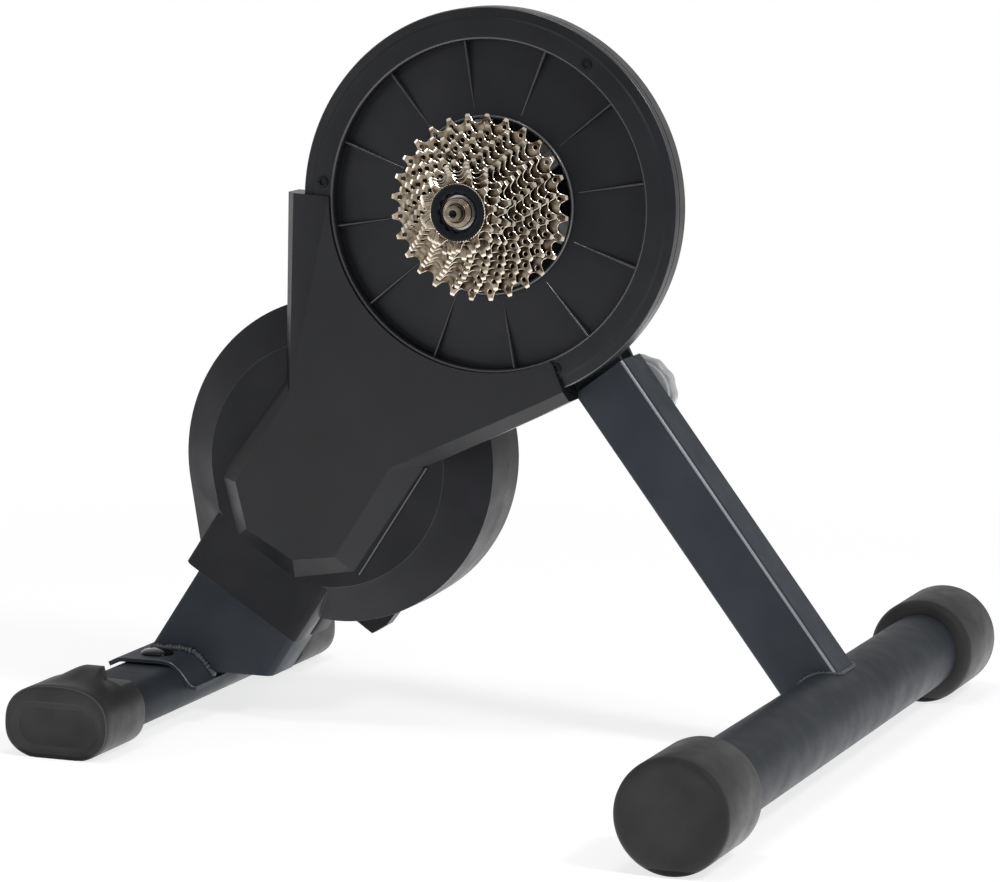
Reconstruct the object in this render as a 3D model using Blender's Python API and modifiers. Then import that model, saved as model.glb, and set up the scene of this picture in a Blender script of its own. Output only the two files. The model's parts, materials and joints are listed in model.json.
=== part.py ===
"""Direct-drive smart bike trainer with cassette, belt drive, flywheel and folding front strut.

The origin is on the ground below the wheel axle. The bike's front is at +X, the drive side
is at -Y and up is +Z. Sizes below are in millimetres and are turned into metres by MM.
"""
import math

import bmesh
import bpy
from mathutils import Vector

MM = 0.001
GAP = 0.3

# Main axes
AXLE_HEIGHT = 345.0
AXIS_SPACING = 203.5
LEG_TILT = math.radians(32.16)

# Frame tube
LEG_WIDTH = 80.0
LEG_WALL = 2.5
LEG_CORNER = 4.0
LEG_NEAR = 14.5
LEG_FAR = 54.5
LEG_FLOOR_GAP = 12.0
LEG_OVER_HUB = 39.5
BOSS_RADIUS = 24.0
AXLE_BORE = 6.3
FLYWHEEL_BEARING_BORE = 17.8

# Rear foot
REAR_SETBACK = 22.7
REAR_FOOT_Z = 21.0
REAR_TUBE_FORWARD = 1.2
REAR_TUBE_DROP = 0.4
REAR_TUBE_WIDTH = 57.0
REAR_TUBE_HEIGHT = 30.0
REAR_TUBE_WALL = 2.0
REAR_NEAR_END = -159.5
REAR_FAR_END = 228.6
REAR_CAP_LENGTH = 61.0
REAR_CAP_HALF_WIDTH = 35.0
REAR_CAP_TOP = 25.4
REAR_CAP_BOTTOM = 23.0
REAR_CAP_POWER = 2.5
CAP_FLOOR = 3.5
CAP_RECESS_DEPTH = 1.5

# Saddle that clamps the rear foot
SADDLE_THICKNESS = 3.0
SADDLE_NEAR = -22.5
SADDLE_FAR = 91.5
SADDLE_BOLT_FORWARD = 0.8
SADDLE_BOLT_INSET = 20.0
SADDLE_BOLT_RADIUS = 4.0
SADDLE_BOLT_HEAD = 9.5
SADDLE_BOLT_CROWN = 3.6
SADDLE_NUT_HEIGHT = 5.2
LEG_HEEL = (34.2, -8.1)

# Front strut and foot
PIVOT_UP = 141.43
PIVOT_OUT = 132.35
STRUT_TILT = math.radians(-37.59)
STRUT_SIZE = 40.0
STRUT_WALL = 2.5
STRUT_CORNER = 4.0
STRUT_OVERHANG = 19.5
STRUT_BOSS_RADIUS = 10.0
STRUT_NOTCH = 24.0
FOOT_RADIUS = 25.4
FOOT_WALL = 2.0
FOOT_NEAR_END = -311.5
FOOT_FAR_END = 311.4
FOOT_CAP_RADIUS = 34.8
FOOT_CAP_LENGTH = 71.5
PIN_RADIUS = 5.9
KNOB_RADIUS = 25.2
KNOB_NEAR = 55.2
KNOB_FAR = 70.0
BRACKET_PLATE = 4.0
BRACKET_INSET = 7.0
BRACKET_EDGE = 3.0
BRACKET_MIDDLE = 8.6
BRACKET_HALF = 42.0
BRACKET_UPPER = 43.6
BRACKET_LOWER = 16.4
BRACKET_FOOT = 4.0
BRACKET_EYE = 13.0
BRACKET_TIP_UP = 26.0
BRACKET_TIP_OUT = 18.0

# Round housing of the big pulley
HOUSING_RADIUS = 124.2
FLANGE_STEP = 7.2
FLANGE_FRONT = -10.5
HOUSING_EDGE = -8.5
HOUSING_SPLIT = -2.0
HOUSING_SHOULDER = 8.8
HOUSING_BACK = 14.2
HOUSING_BACK_STEP = 5.7
HOUSING_WALL = 2.8
CASE_BORE = 30.0
RECESS_RADIUS = 104.1
RECESS_FLOOR = -1.2
CONE_INNER = 57.5
CONE_FRONT = -8.0
LIP_OUTER = 57.0
LIP_INNER = 54.0
LIP_FRONT = -9.6
COVER_WALL = 0.9
RIB_COUNT = 12
RIB_START = math.radians(10.2)
RIB_WIDTH = 1.6
RIB_OUTER_FRONT = -6.5
RIB_INNER_FRONT = -7.9
RIB_INNER = 61.0

# Flywheel drum
DRUM_FACE_RADIUS = 79.7
DRUM_RADIUS = 105.5
DRUM_FRONT = -4.0
DRUM_SHOULDER = 18.0
DRUM_SPLIT = 48.0
DRUM_BACK_SHOULDER = 70.0
DRUM_SHOULDER_RADIUS = 104.6
DRUM_BACK_RADIUS = 80.0
DRUM_BACK = 97.0
DRUM_WALL = 2.4
SLEEVE_HALF_WIDTH = 45.4
SLEEVE_END = 111.0
SLEEVE_SPLIT = 24.3
SLEEVE_BACK = 59.0
DRUM_STEPS = 36
WING_ANGLE = math.radians(47.8)
DRUM_LAST_ANGLE = math.radians(375.0)
WING_FOOT = 44.6
WING_REACH = 107.5
WING_FRONT_REACH = 68.5

# Power inlet on the drum's back
INLET_PLACE = (-38.0, -30.0)
INLET_RADIUS = 7.5
INLET_HEIGHT = 9.5
INLET_BORE = 4.0
INLET_DEPTH = 7.0

# Belt cover
BELT_COVER_FRONT = -13.0
BELT_COVER_FOOT = -4.0
BELT_COVER_BACK = 13.9
BELT_COVER_WALL = 2.2
BELT_COVER_CUTOUT = 105.7

# Belt drive
BELT_NEAR = 1.6
BELT_FAR = 11.3
BELT_THICKNESS = 2.0
BELT_CLEARANCE = 0.6
BIG_PULLEY_RADIUS = 97.0
SMALL_PULLEY_RADIUS = 17.6
IDLER_RADIUS = 11.0
IDLER_REACH = 40.0
IDLER_BOLT_T = 70.0

# Cassette
CHAIN_PITCH = 12.7
SPROCKET_TURN = math.radians(6.4)
ROLLER_RADIUS = 3.88
TOOTH_RISE = 2.1
SPROCKET_TEETH = (28, 25, 23, 21, 19, 17, 15, 14, 13, 12, 11)
SPROCKET_THICKNESS = 1.6
SPROCKET_PITCH = 3.69
LARGEST_SPROCKET_Y = -24.0
SPROCKET_BORE = 17.3
FREEHUB_RADIUS = 17.0
COLLAR_BORE = 18.4
COLLAR_RADIUS = 19.8
LOCK_RING_RADIUS = 18.4

# Axle
AXLE_RADIUS = 6.0
STUB_RADIUS = 5.0
SKEWER_RADIUS = 2.5
AXLE_NEAR = -72.7
AXLE_FAR = 72.0
NUT_RADIUS = 9.5
FAR_FACE = 65.0
FAR_NUT_RADIUS = 12.0

# Flywheel and brake
FLYWHEEL_RADIUS = 98.0
FLYWHEEL_RIM_INNER = 76.0
FLYWHEEL_NEAR = 58.0
FLYWHEEL_HUB_NEAR = 61.0
FLYWHEEL_HUB_RADIUS = 16.0
FLYWHEEL_WEB = 76.0
FLYWHEEL_SHOULDER = 70.0
FLYWHEEL_BACK_RADIUS = 85.0
FLYWHEEL_FAR = 84.5
SHAFT_RADIUS = 7.5
POLE_COUNT = 6
POLE_START = 28.0
POLE_REACH = 74.0
POLE_SIZE = 12.0
POLE_NEAR = 60.0
POLE_FAR = 72.0
CORE_INNER = 25.0
CORE_OUTER = 33.0
COIL_MIDDLE = 56.0
COIL_LENGTH = 22.0
COIL_SIZE = 24.0
COIL_DEPTH = 16.5
COIL_RING_HALF = 4.0

LEG_MID = (LEG_NEAR + LEG_FAR) / 2
UP = (math.sin(LEG_TILT), math.cos(LEG_TILT))
ACROSS = (math.cos(LEG_TILT), -math.sin(LEG_TILT))
FLY_X = -AXIS_SPACING * UP[0]
FLY_Z = AXLE_HEIGHT - AXIS_SPACING * UP[1]
LEG_BELOW = (FLY_Z - LEG_FLOOR_GAP) / UP[1]
LEG_ABOVE = AXIS_SPACING + LEG_OVER_HUB
REAR_FOOT_X = FLY_X - (FLY_Z - REAR_FOOT_Z) * math.tan(LEG_TILT) - REAR_SETBACK
REAR_TUBE_X = REAR_FOOT_X + REAR_TUBE_FORWARD
REAR_TUBE_Z = REAR_FOOT_Z - REAR_TUBE_DROP
REAR_TUBE_TOP = REAR_TUBE_Z + REAR_TUBE_HEIGHT / 2
PIVOT_X = FLY_X + PIVOT_UP * UP[0] + PIVOT_OUT * ACROSS[0]
PIVOT_Z = FLY_Z + PIVOT_UP * UP[1] + PIVOT_OUT * ACROSS[1]
STRUT_LENGTH = (PIVOT_Z - FOOT_CAP_RADIUS) / math.cos(STRUT_TILT)
BRACKET_NEAR = LEG_NEAR + BRACKET_INSET
BRACKET_FAR = LEG_FAR - BRACKET_INSET
FACE_TO_Y = (math.pi / 2, 0.0, 0.0)

SCENE = bpy.context.scene


def clear_scene():
    for obj in list(bpy.data.objects):
        bpy.data.objects.remove(obj, do_unlink=True)


def new_collection(name):
    coll = bpy.data.collections.new(name)
    SCENE.collection.children.link(coll)
    return coll


clear_scene()
PARTS = new_collection("smart_bike_trainer")
CUTTERS = new_collection("cutters")


def material(name, colour, roughness, metallic=0.0):
    mat = bpy.data.materials.new(name)
    mat.use_nodes = True
    shader = mat.node_tree.nodes["Principled BSDF"]
    shader.inputs["Base Color"].default_value = (*colour, 1.0)
    shader.inputs["Roughness"].default_value = roughness
    shader.inputs["Metallic"].default_value = metallic
    return mat


def empty(name, x, z):
    obj = bpy.data.objects.new(name, None)
    obj.location = (x * MM, 0.0, z * MM)
    PARTS.objects.link(obj)
    return obj


def add(obj, coll=None, mat=None, parent=None):
    (coll or PARTS).objects.link(obj)
    if coll is CUTTERS:
        obj.hide_render = True
        obj.display_type = 'WIRE'
    if mat is not None:
        obj.data.materials.clear()
        obj.data.materials.append(mat)
    if parent is not None:
        obj.parent = parent
    return obj


def smooth(mesh, degrees=32.0):
    mesh.shade_smooth()
    mesh.set_sharp_from_angle(angle=math.radians(degrees))


def mesh_object(name, bm):
    mesh = bpy.data.meshes.new(name)
    bm.to_mesh(mesh)
    bm.free()
    smooth(mesh)
    return bpy.data.objects.new(name, mesh)


def box(name, size, corner=0.0, segments=3):
    """Box about its centre; the edges along local Z are rounded."""
    bm = bmesh.new()
    bmesh.ops.create_cube(bm, size=1.0)
    for vert in bm.verts:
        vert.co = Vector((vert.co.x * size[0], vert.co.y * size[1], vert.co.z * size[2])) * MM
    if corner > 0:
        edges = [e for e in bm.edges if abs(e.verts[0].co.z - e.verts[1].co.z) > 1e-6]
        bmesh.ops.bevel(bm, geom=edges, offset=corner * MM, offset_type='OFFSET',
                        segments=segments, profile=0.5, affect='EDGES')
    return mesh_object(name, bm)


def rod(name, radius, start, end, segments=18):
    """Cylinder along world Y between two Y values, about its own origin."""
    bm = bmesh.new()
    bmesh.ops.create_cone(bm, cap_ends=True, segments=segments, radius1=radius * MM,
                          radius2=radius * MM, depth=(end - start) * MM)
    bmesh.ops.translate(bm, verts=bm.verts, vec=(0, 0, -(start + end) / 2 * MM))
    obj = mesh_object(name, bm)
    obj.rotation_euler = FACE_TO_Y
    return obj


def turned(name, profile, segments, closed=True, upright=False):
    """Turned solid; the profile holds (radius, position along the axis), near side first."""
    mesh = bpy.data.meshes.new(name)
    sign = 1.0 if upright else -1.0
    verts = [(r * MM, 0.0, sign * a * MM) for r, a in profile]
    edges = [(i, i + 1) for i in range(len(profile) - 1)]
    if closed:
        edges.append((len(profile) - 1, 0))
    mesh.from_pydata(verts, edges, [])
    obj = bpy.data.objects.new(name, mesh)
    screw = obj.modifiers.new("turn", 'SCREW')
    screw.axis = 'Z'
    screw.angle = 2 * math.pi
    screw.steps = segments
    screw.render_steps = segments
    screw.use_merge_vertices = True
    screw.merge_threshold = 0.00001
    screw.use_smooth_shade = True
    if not upright:
        obj.rotation_euler = FACE_TO_Y
    return obj


def plate(name, loops, thickness):
    """Flat plate in world XZ, its thickness along Y; the first loop is the outline."""
    curve = bpy.data.curves.new(name, 'CURVE')
    curve.dimensions = '2D'
    curve.fill_mode = 'BOTH'
    curve.extrude = thickness / 2 * MM
    for loop in loops:
        spline = curve.splines.new('POLY')
        spline.points.add(len(loop) - 1)
        for point, (x, z) in zip(spline.points, loop):
            point.co = (x * MM, z * MM, 0.0, 1.0)
        spline.use_cyclic_u = True
    guide = bpy.data.objects.new(name + "_outline", curve)
    SCENE.collection.objects.link(guide)
    bpy.context.view_layer.update()
    graph = bpy.context.evaluated_depsgraph_get()
    mesh = bpy.data.meshes.new_from_object(guide.evaluated_get(graph))
    bpy.data.objects.remove(guide, do_unlink=True)
    bpy.data.curves.remove(curve)
    bm = bmesh.new()
    bm.from_mesh(mesh)
    bpy.data.meshes.remove(mesh)
    bmesh.ops.remove_doubles(bm, verts=bm.verts, dist=0.00001)
    bmesh.ops.recalc_face_normals(bm, faces=bm.faces)
    obj = mesh_object(name, bm)
    obj.rotation_euler = FACE_TO_Y
    return obj


def loft(name, rings, facets=False):
    """Solid between outlines with equal point counts; each ring is (outline, y)."""
    bm = bmesh.new()
    levels = []
    for outline, y in rings:
        levels.append([bm.verts.new((x * MM, y * MM, z * MM)) for x, z in outline])
    count = len(levels[0])
    bm.faces.new(levels[0])
    bm.faces.new(list(reversed(levels[-1])))
    for near, far in zip(levels, levels[1:]):
        for i in range(count):
            j = (i + 1) % count
            bm.faces.new((near[j], near[i], far[i], far[j]))
    if facets:
        bmesh.ops.triangulate(bm, faces=bm.faces)
    bmesh.ops.recalc_face_normals(bm, faces=bm.faces)
    return mesh_object(name, bm)


def at(obj, x=0.0, y=0.0, z=0.0):
    obj.location = (x * MM, y * MM, z * MM)
    return obj


def combine(obj, other, operation):
    """Boolean of an object with a hidden helper solid."""
    if other.name not in CUTTERS.objects:
        add(other, CUTTERS)
    mod = obj.modifiers.new(other.name[:40], 'BOOLEAN')
    mod.operation = operation
    mod.solver = 'EXACT'
    mod.object = other
    return obj


def cut(obj, *others):
    for other in others:
        combine(obj, other, 'DIFFERENCE')
    return obj


def join(obj, *others):
    for other in others:
        combine(obj, other, 'UNION')
    return obj


def leg_xz(t, v):
    """Point t along the leg from the flywheel axis and v across it."""
    return (FLY_X + t * UP[0] + v * ACROSS[0], FLY_Z + t * UP[1] + v * ACROSS[1])


def leg_box(name, width, near, far, start, end, corner=0.0):
    """Box in leg directions: across by +-width/2, Y near to far, along start to end."""
    obj = box(name, (width, far - near, end - start), corner)
    x, z = leg_xz((start + end) / 2, 0.0)
    at(obj, x, (near + far) / 2, z)
    obj.rotation_euler = (0.0, LEG_TILT, 0.0)
    return obj


def obround(width, height, segments=8, x=0.0, z=0.0):
    points = []
    radius = height / 2
    for side, start in ((1, -math.pi / 2), (-1, math.pi / 2)):
        for i in range(segments + 1):
            angle = start + math.pi * i / segments
            points.append((x + side * (width / 2 - radius) + radius * math.cos(angle),
                           z + radius * math.sin(angle)))
    return points


def circle(radius, segments, x=0.0, z=0.0, start=0.0):
    step = 2 * math.pi / segments
    return [(x + radius * math.cos(start + i * step), z + radius * math.sin(start + i * step))
            for i in range(segments)]


def inset(outline, distance):
    """Outline moved inwards by a distance; the outline runs clockwise seen from -Y."""
    result = []
    count = len(outline)
    for i in range(count):
        a = Vector(outline[i - 1])
        b = Vector(outline[i])
        c = Vector(outline[(i + 1) % count])
        first = (b - a).normalized()
        second = (c - b).normalized()
        n1 = Vector((first.y, -first.x))
        n2 = Vector((second.y, -second.x))
        middle = (n1 + n2).normalized()
        shift = middle * (distance / max(0.35, middle.dot(n1)))
        result.append((b.x + shift.x, b.y + shift.y))
    return result


# Colours
COVER_BLACK = material("matte_black_plastic", (0.022, 0.023, 0.025), 0.48)
PAINT = material("dark_satin_paint", (0.030, 0.034, 0.042), 0.36)
RUBBER = material("dark_rubber", (0.036, 0.034, 0.033), 0.62)
NICKEL = material("nickel_steel", (0.60, 0.56, 0.50), 0.30, 1.0)
STEEL = material("bright_steel", (0.62, 0.62, 0.61), 0.25, 1.0)
DARK_STEEL = material("black_steel", (0.05, 0.05, 0.055), 0.40, 0.6)
ALLOY = material("cast_alloy", (0.55, 0.55, 0.56), 0.42, 1.0)
IRON = material("machined_iron", (0.33, 0.33, 0.34), 0.38, 1.0)
BELT_RUBBER = material("belt_rubber", (0.018, 0.018, 0.018), 0.70)
COPPER = material("copper_wire", (0.72, 0.33, 0.16), 0.35, 1.0)
BOARD = material("circuit_board", (0.03, 0.16, 0.07), 0.45)
SPACER = material("grey_plastic", (0.10, 0.10, 0.10), 0.50)

HUB_AXIS = empty("hub_axis", 0.0, AXLE_HEIGHT)
FLY_AXIS = empty("flywheel_axis", FLY_X, FLY_Z)
FOLD_AXIS = empty("fold_axis", PIVOT_X, PIVOT_Z)


def hub(obj):
    return at(obj, 0.0, 0.0, AXLE_HEIGHT)


def fly(obj):
    return at(obj, FLY_X, 0.0, FLY_Z)


def leg_space(name, grow=0.4):
    return leg_box(name, LEG_WIDTH + 2 * grow, LEG_NEAR - grow, LEG_FAR + grow, -230.0, 260.0)


# Frame
# Upper line of the saddle, from the rear foot's middle and the tube's top
SADDLE_LINE = ((-25.6, 0.2), (-18.6, 4.0), (16.4, 4.3), (24.1, 1.0), (36.8, -10.8))


def over_foot(x, z):
    """Point measured from the rear foot's middle and the top of its tube."""
    return (REAR_FOOT_X + x, REAR_TUBE_TOP + z)


def build_frame():
    tube = leg_box("frame_tube", LEG_WIDTH, LEG_NEAR, LEG_FAR, -LEG_BELOW, LEG_ABOVE, LEG_CORNER)
    add(tube, None, PAINT)
    hollow = leg_box("frame_hollow", LEG_WIDTH - 2 * LEG_WALL, LEG_NEAR + LEG_WALL,
                     LEG_FAR - LEG_WALL, -LEG_BELOW - 20, LEG_ABOVE + 20, LEG_CORNER - LEG_WALL)
    cut(tube, hollow)
    join(tube,
         hub(rod("hub_boss", BOSS_RADIUS, LEG_NEAR + 0.8, LEG_FAR - 0.8)),
         fly(rod("flywheel_boss", BOSS_RADIUS, LEG_NEAR + 0.8, LEG_FAR - 0.8)))
    over = [over_foot(x, z + GAP) for x, z in SADDLE_LINE[:-1]]
    over += [over_foot(*LEG_HEEL), over_foot(130.0, LEG_HEEL[1]), over_foot(130.0, -95.0),
             over_foot(-75.0, -95.0), over_foot(-75.0, SADDLE_LINE[0][1] + GAP)]
    mouth = at(plate("leg_mouth", [over], 160.0), 0.0, LEG_MID, 0.0)
    idler_hole = rod("idler_bolt_hole", 3.3, 8.0, 24.0, 12)
    x, z = leg_xz(IDLER_BOLT_T, 0.0)
    at(idler_hole, x, 0.0, z)
    cut(tube, mouth,
        hub(rod("hub_bore", AXLE_BORE, 5.0, 65.0)),
        fly(rod("flywheel_bore", FLYWHEEL_BEARING_BORE, 5.0, 65.0)),
        idler_hole)


def build_leg_plug():
    plug = leg_box("leg_plug", LEG_WIDTH - 1.0, LEG_NEAR + 0.5, LEG_FAR - 0.5,
                   LEG_ABOVE + GAP, LEG_ABOVE + 3.5, LEG_CORNER)
    add(plug, None, COVER_BLACK)
    join(plug, leg_box("plug_body", LEG_WIDTH - 2 * LEG_WALL - 1.0, LEG_NEAR + LEG_WALL + 0.5,
                       LEG_FAR - LEG_WALL - 0.5, LEG_ABOVE - 11.0, LEG_ABOVE + 1.5,
                       LEG_CORNER - LEG_WALL + 0.5))


def saddle_outline():
    """Bent strip: the upper line, then the same line lowered by the plate thickness."""
    upper = [Vector(over_foot(*p)) for p in SADDLE_LINE]
    lower = []
    for i, point in enumerate(upper):
        before = upper[max(i - 1, 0)]
        after = upper[min(i + 1, len(upper) - 1)]
        along = (after - before).normalized()
        lower.append(point + Vector((along.y, -along.x)) * SADDLE_THICKNESS)
    return [tuple(p) for p in upper] + [tuple(p) for p in reversed(lower)]


def build_rear_foot():
    mid = (SADDLE_NEAR + SADDLE_FAR) / 2
    saddle = at(plate("rear_saddle", [saddle_outline()], SADDLE_FAR - SADDLE_NEAR), 0.0, mid, 0.0)
    add(saddle, None, PAINT)
    outer = obround(REAR_TUBE_WIDTH, REAR_TUBE_HEIGHT, 7, REAR_TUBE_X, REAR_TUBE_Z)
    inner = obround(REAR_TUBE_WIDTH - 2 * REAR_TUBE_WALL, REAR_TUBE_HEIGHT - 2 * REAR_TUBE_WALL,
                    4, REAR_TUBE_X, REAR_TUBE_Z)
    start = REAR_NEAR_END + CAP_FLOOR + GAP
    end = REAR_FAR_END - CAP_FLOOR - GAP
    tube = at(plate("rear_foot_tube", [outer, inner], end - start), 0.0, (start + end) / 2, 0.0)
    add(tube, None, PAINT)
    bolt_x = REAR_FOOT_X + SADDLE_BOLT_FORWARD
    r = SADDLE_BOLT_RADIUS
    seat = REAR_TUBE_TOP + SADDLE_LINE[2][1] + 0.4
    crown = SADDLE_BOLT_CROWN
    bottom = REAR_TUBE_Z - REAR_TUBE_HEIGHT / 2
    for i, y in (("near", SADDLE_NEAR + SADDLE_BOLT_INSET), ("far", SADDLE_FAR - SADDLE_BOLT_INSET)):
        bm = bmesh.new()
        bmesh.ops.create_cone(bm, cap_ends=True, segments=12, radius1=(r + 0.4) * MM,
                              radius2=(r + 0.4) * MM, depth=90 * MM)
        hole = at(mesh_object("saddle_hole_" + i, bm), bolt_x, y, 30.0)
        cut(saddle, hole)
        cut(tube, hole)
        head = [(0.0, seat + crown), (SADDLE_BOLT_HEAD * 0.55, seat + crown * 0.83),
                (SADDLE_BOLT_HEAD * 0.87, seat + crown * 0.47), (SADDLE_BOLT_HEAD, seat),
                (r, seat), (r, bottom - SADDLE_NUT_HEIGHT + 0.3), (0.0, bottom - SADDLE_NUT_HEIGHT + 0.3)]
        add(at(turned("saddle_bolt_" + i, head, 12, False, True), bolt_x, y, 0.0), None, DARK_STEEL)
        ring = [(r + 0.9, bottom), (r + 3.5, bottom), (r + 3.5, bottom - SADDLE_NUT_HEIGHT),
                (r + 0.9, bottom - SADDLE_NUT_HEIGHT)]
        add(at(turned("saddle_nut_" + i, ring, 6, True, True), bolt_x, y, 0.0), None, DARK_STEEL)


def cap_outline(steps=24):
    """Crowned oval with a flat underside that stands on the ground."""
    power = REAR_CAP_POWER
    sunk = REAR_FOOT_Z / REAR_CAP_BOTTOM
    flat = REAR_CAP_HALF_WIDTH * (1 - sunk ** power) ** (1 / power)
    points = []
    for i in range(steps):
        angle = 2 * math.pi * i / steps
        c = math.cos(angle)
        s = math.sin(angle)
        x = REAR_CAP_HALF_WIDTH * math.copysign(abs(c) ** (2 / power), c)
        height = REAR_CAP_TOP if s > 0 else REAR_CAP_BOTTOM
        z = REAR_FOOT_Z + height * math.copysign(abs(s) ** (2 / power), s)
        if z > 0:
            points.append((REAR_FOOT_X + x, z))
        elif points[-1][1] > 0:
            points.append((REAR_FOOT_X - flat, 0.0))
            points.append((REAR_FOOT_X + flat, 0.0))
    return points


def build_rear_caps():
    for name, end, side in (("rear_cap_drive", REAR_NEAR_END, 1), ("rear_cap_far", REAR_FAR_END, -1)):
        mid = end + side * REAR_CAP_LENGTH / 2
        cap = at(plate(name, [cap_outline()], REAR_CAP_LENGTH), 0.0, mid, 0.0)
        add(cap, None, RUBBER)
        bore = obround(REAR_TUBE_WIDTH + 2 * GAP, REAR_TUBE_HEIGHT + 2 * GAP, 7,
                       REAR_TUBE_X, REAR_TUBE_Z)
        depth = REAR_CAP_LENGTH - CAP_FLOOR
        hole = at(plate(name + "_bore", [bore], depth + 10.0), 0.0,
                  end + side * (CAP_FLOOR + (depth + 10.0) / 2), 0.0)
        face = obround(59.0, 25.7, 8, REAR_FOOT_X, 20.8)
        recess = at(plate(name + "_recess", [face], 2 * CAP_RECESS_DEPTH), 0.0, end, 0.0)
        cut(cap, hole, recess)


# Front strut and foot
def tilt_strut(obj):
    obj.rotation_euler = (0.0, STRUT_TILT, 0.0)
    return obj


def strut_local(n, y, s):
    """Location of a point n across and s down the strut from the pivot, relative to it."""
    x = n * math.cos(STRUT_TILT) - s * math.sin(STRUT_TILT)
    z = -n * math.sin(STRUT_TILT) - s * math.cos(STRUT_TILT)
    return (x, y, z)


def build_strut():
    length = STRUT_OVERHANG + STRUT_LENGTH
    mid = (STRUT_LENGTH - STRUT_OVERHANG) / 2
    strut = tilt_strut(at(box("front_strut", (STRUT_SIZE, STRUT_SIZE, length), STRUT_CORNER),
                          *strut_local(0, LEG_MID, mid)))
    add(strut, None, PAINT, FOLD_AXIS)
    clear = STRUT_SIZE - 2 * STRUT_WALL
    hollow = tilt_strut(at(box("strut_hollow", (clear, clear, length + 40), 1.5),
                           *strut_local(0, LEG_MID, mid)))
    notch = tilt_strut(at(box("strut_notch", (16.0, 30.0, STRUT_NOTCH + 50.0)),
                          *strut_local(-STRUT_SIZE / 2, LEG_MID, STRUT_NOTCH - (STRUT_NOTCH + 50) / 2)))
    foot = at(rod("strut_mouth", FOOT_RADIUS + 0.3, -60, 120, 28), *strut_local(0, 0, STRUT_LENGTH))
    bosses = [rod("strut_boss_near", STRUT_BOSS_RADIUS, LEG_NEAR + 1.5,
                  BRACKET_NEAR - GAP, 12),
              rod("strut_boss_far", STRUT_BOSS_RADIUS, BRACKET_FAR + GAP,
                  LEG_FAR - 1.5, 12)]
    bore = rod("strut_bore", PIN_RADIUS + GAP, LEG_NEAR + STRUT_WALL, 80.0, 12)
    for helper in (hollow, notch, foot, bore, *bosses):
        add(helper, CUTTERS, None, FOLD_AXIS)
    cut(strut, hollow, notch)
    join(strut, *bosses)
    cut(strut, bore, foot)


def build_front_foot():
    x, _, z = strut_local(0, 0, STRUT_LENGTH)
    near = FOOT_NEAR_END + CAP_FLOOR + GAP
    far = FOOT_FAR_END - CAP_FLOOR - GAP
    r = FOOT_RADIUS
    ring = [(r - FOOT_WALL, near), (r, near), (r, far), (r - FOOT_WALL, far)]
    add(at(turned("front_foot_tube", ring, 28), x, 0, z), None, PAINT, FOLD_AXIS)
    cap = FOOT_CAP_RADIUS
    for name, end, side in (("front_cap_drive", FOOT_NEAR_END, 1), ("front_cap_far", FOOT_FAR_END, -1)):
        rim = FOOT_CAP_LENGTH
        shape = [(0.0, 0.0), (cap - 3.0, 0.0), (cap, 3.0), (cap, rim - 7.0), (cap - 2.2, rim - 2.0),
                 (cap - 6.5, rim), (r + GAP, rim), (r + GAP, CAP_FLOOR), (0.0, CAP_FLOOR)]
        profile = [(a, end + side * b) for a, b in shape]
        if side < 0:
            profile.reverse()
        add(at(turned(name, profile, 28, False), x, 0, z), None, RUBBER, FOLD_AXIS)


def build_bracket():
    eye = Vector((PIVOT_X, PIVOT_Z))
    middle = PIVOT_UP + BRACKET_MIDDLE
    base = Vector(leg_xz(middle, LEG_WIDTH / 2 + BRACKET_FOOT / 2))
    low = Vector(leg_xz(PIVOT_UP - BRACKET_LOWER, LEG_WIDTH / 2 + BRACKET_FOOT - 1.0))
    tip_x, _, tip_z = strut_local(BRACKET_TIP_OUT, 0.0, -BRACKET_TIP_UP)
    reach = low - eye
    last = math.atan2(reach.y, reach.x) + math.acos(BRACKET_EYE / reach.length)
    first = -STRUT_TILT
    sweep = last - first - 2 * math.pi
    outline = [leg_xz(PIVOT_UP + BRACKET_UPPER, LEG_WIDTH / 2 + BRACKET_FOOT - 1.0),
               (eye.x + tip_x, eye.y + tip_z)]
    for i in range(9):
        angle = first + sweep * i / 8
        outline.append((eye.x + BRACKET_EYE * math.cos(angle), eye.y + BRACKET_EYE * math.sin(angle)))
    outline.append(tuple(low))
    foot = leg_box("strut_bracket", BRACKET_FOOT, LEG_NEAR + BRACKET_EDGE, LEG_FAR - BRACKET_EDGE,
                   middle - BRACKET_HALF, middle + BRACKET_HALF)
    x, z = leg_xz(middle, LEG_WIDTH / 2 + GAP + BRACKET_FOOT / 2)
    foot.location.x = x * MM
    foot.location.z = z * MM
    add(foot, None, PAINT)
    near = at(plate("bracket_near", [outline], BRACKET_PLATE), 0, BRACKET_NEAR + BRACKET_PLATE / 2, 0)
    far = at(plate("bracket_far", [outline], BRACKET_PLATE), 0, BRACKET_FAR - BRACKET_PLATE / 2, 0)
    toward = (base - eye).normalized()
    side = Vector((-toward.y, toward.x)) * 2.5
    tip = eye + toward * 36.0
    web_line = [base + side, base - side, tip - side, tip + side]
    web = plate("bracket_web", [[tuple(p) for p in web_line]],
                BRACKET_FAR - BRACKET_NEAR - 1.5 * BRACKET_PLATE)
    at(web, 0, LEG_MID, 0)
    join(foot, near, far, web)
    cut(foot, at(rod("bracket_bore", PIN_RADIUS + GAP, 5.0, 65.0), PIVOT_X, 0, PIVOT_Z))


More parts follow.
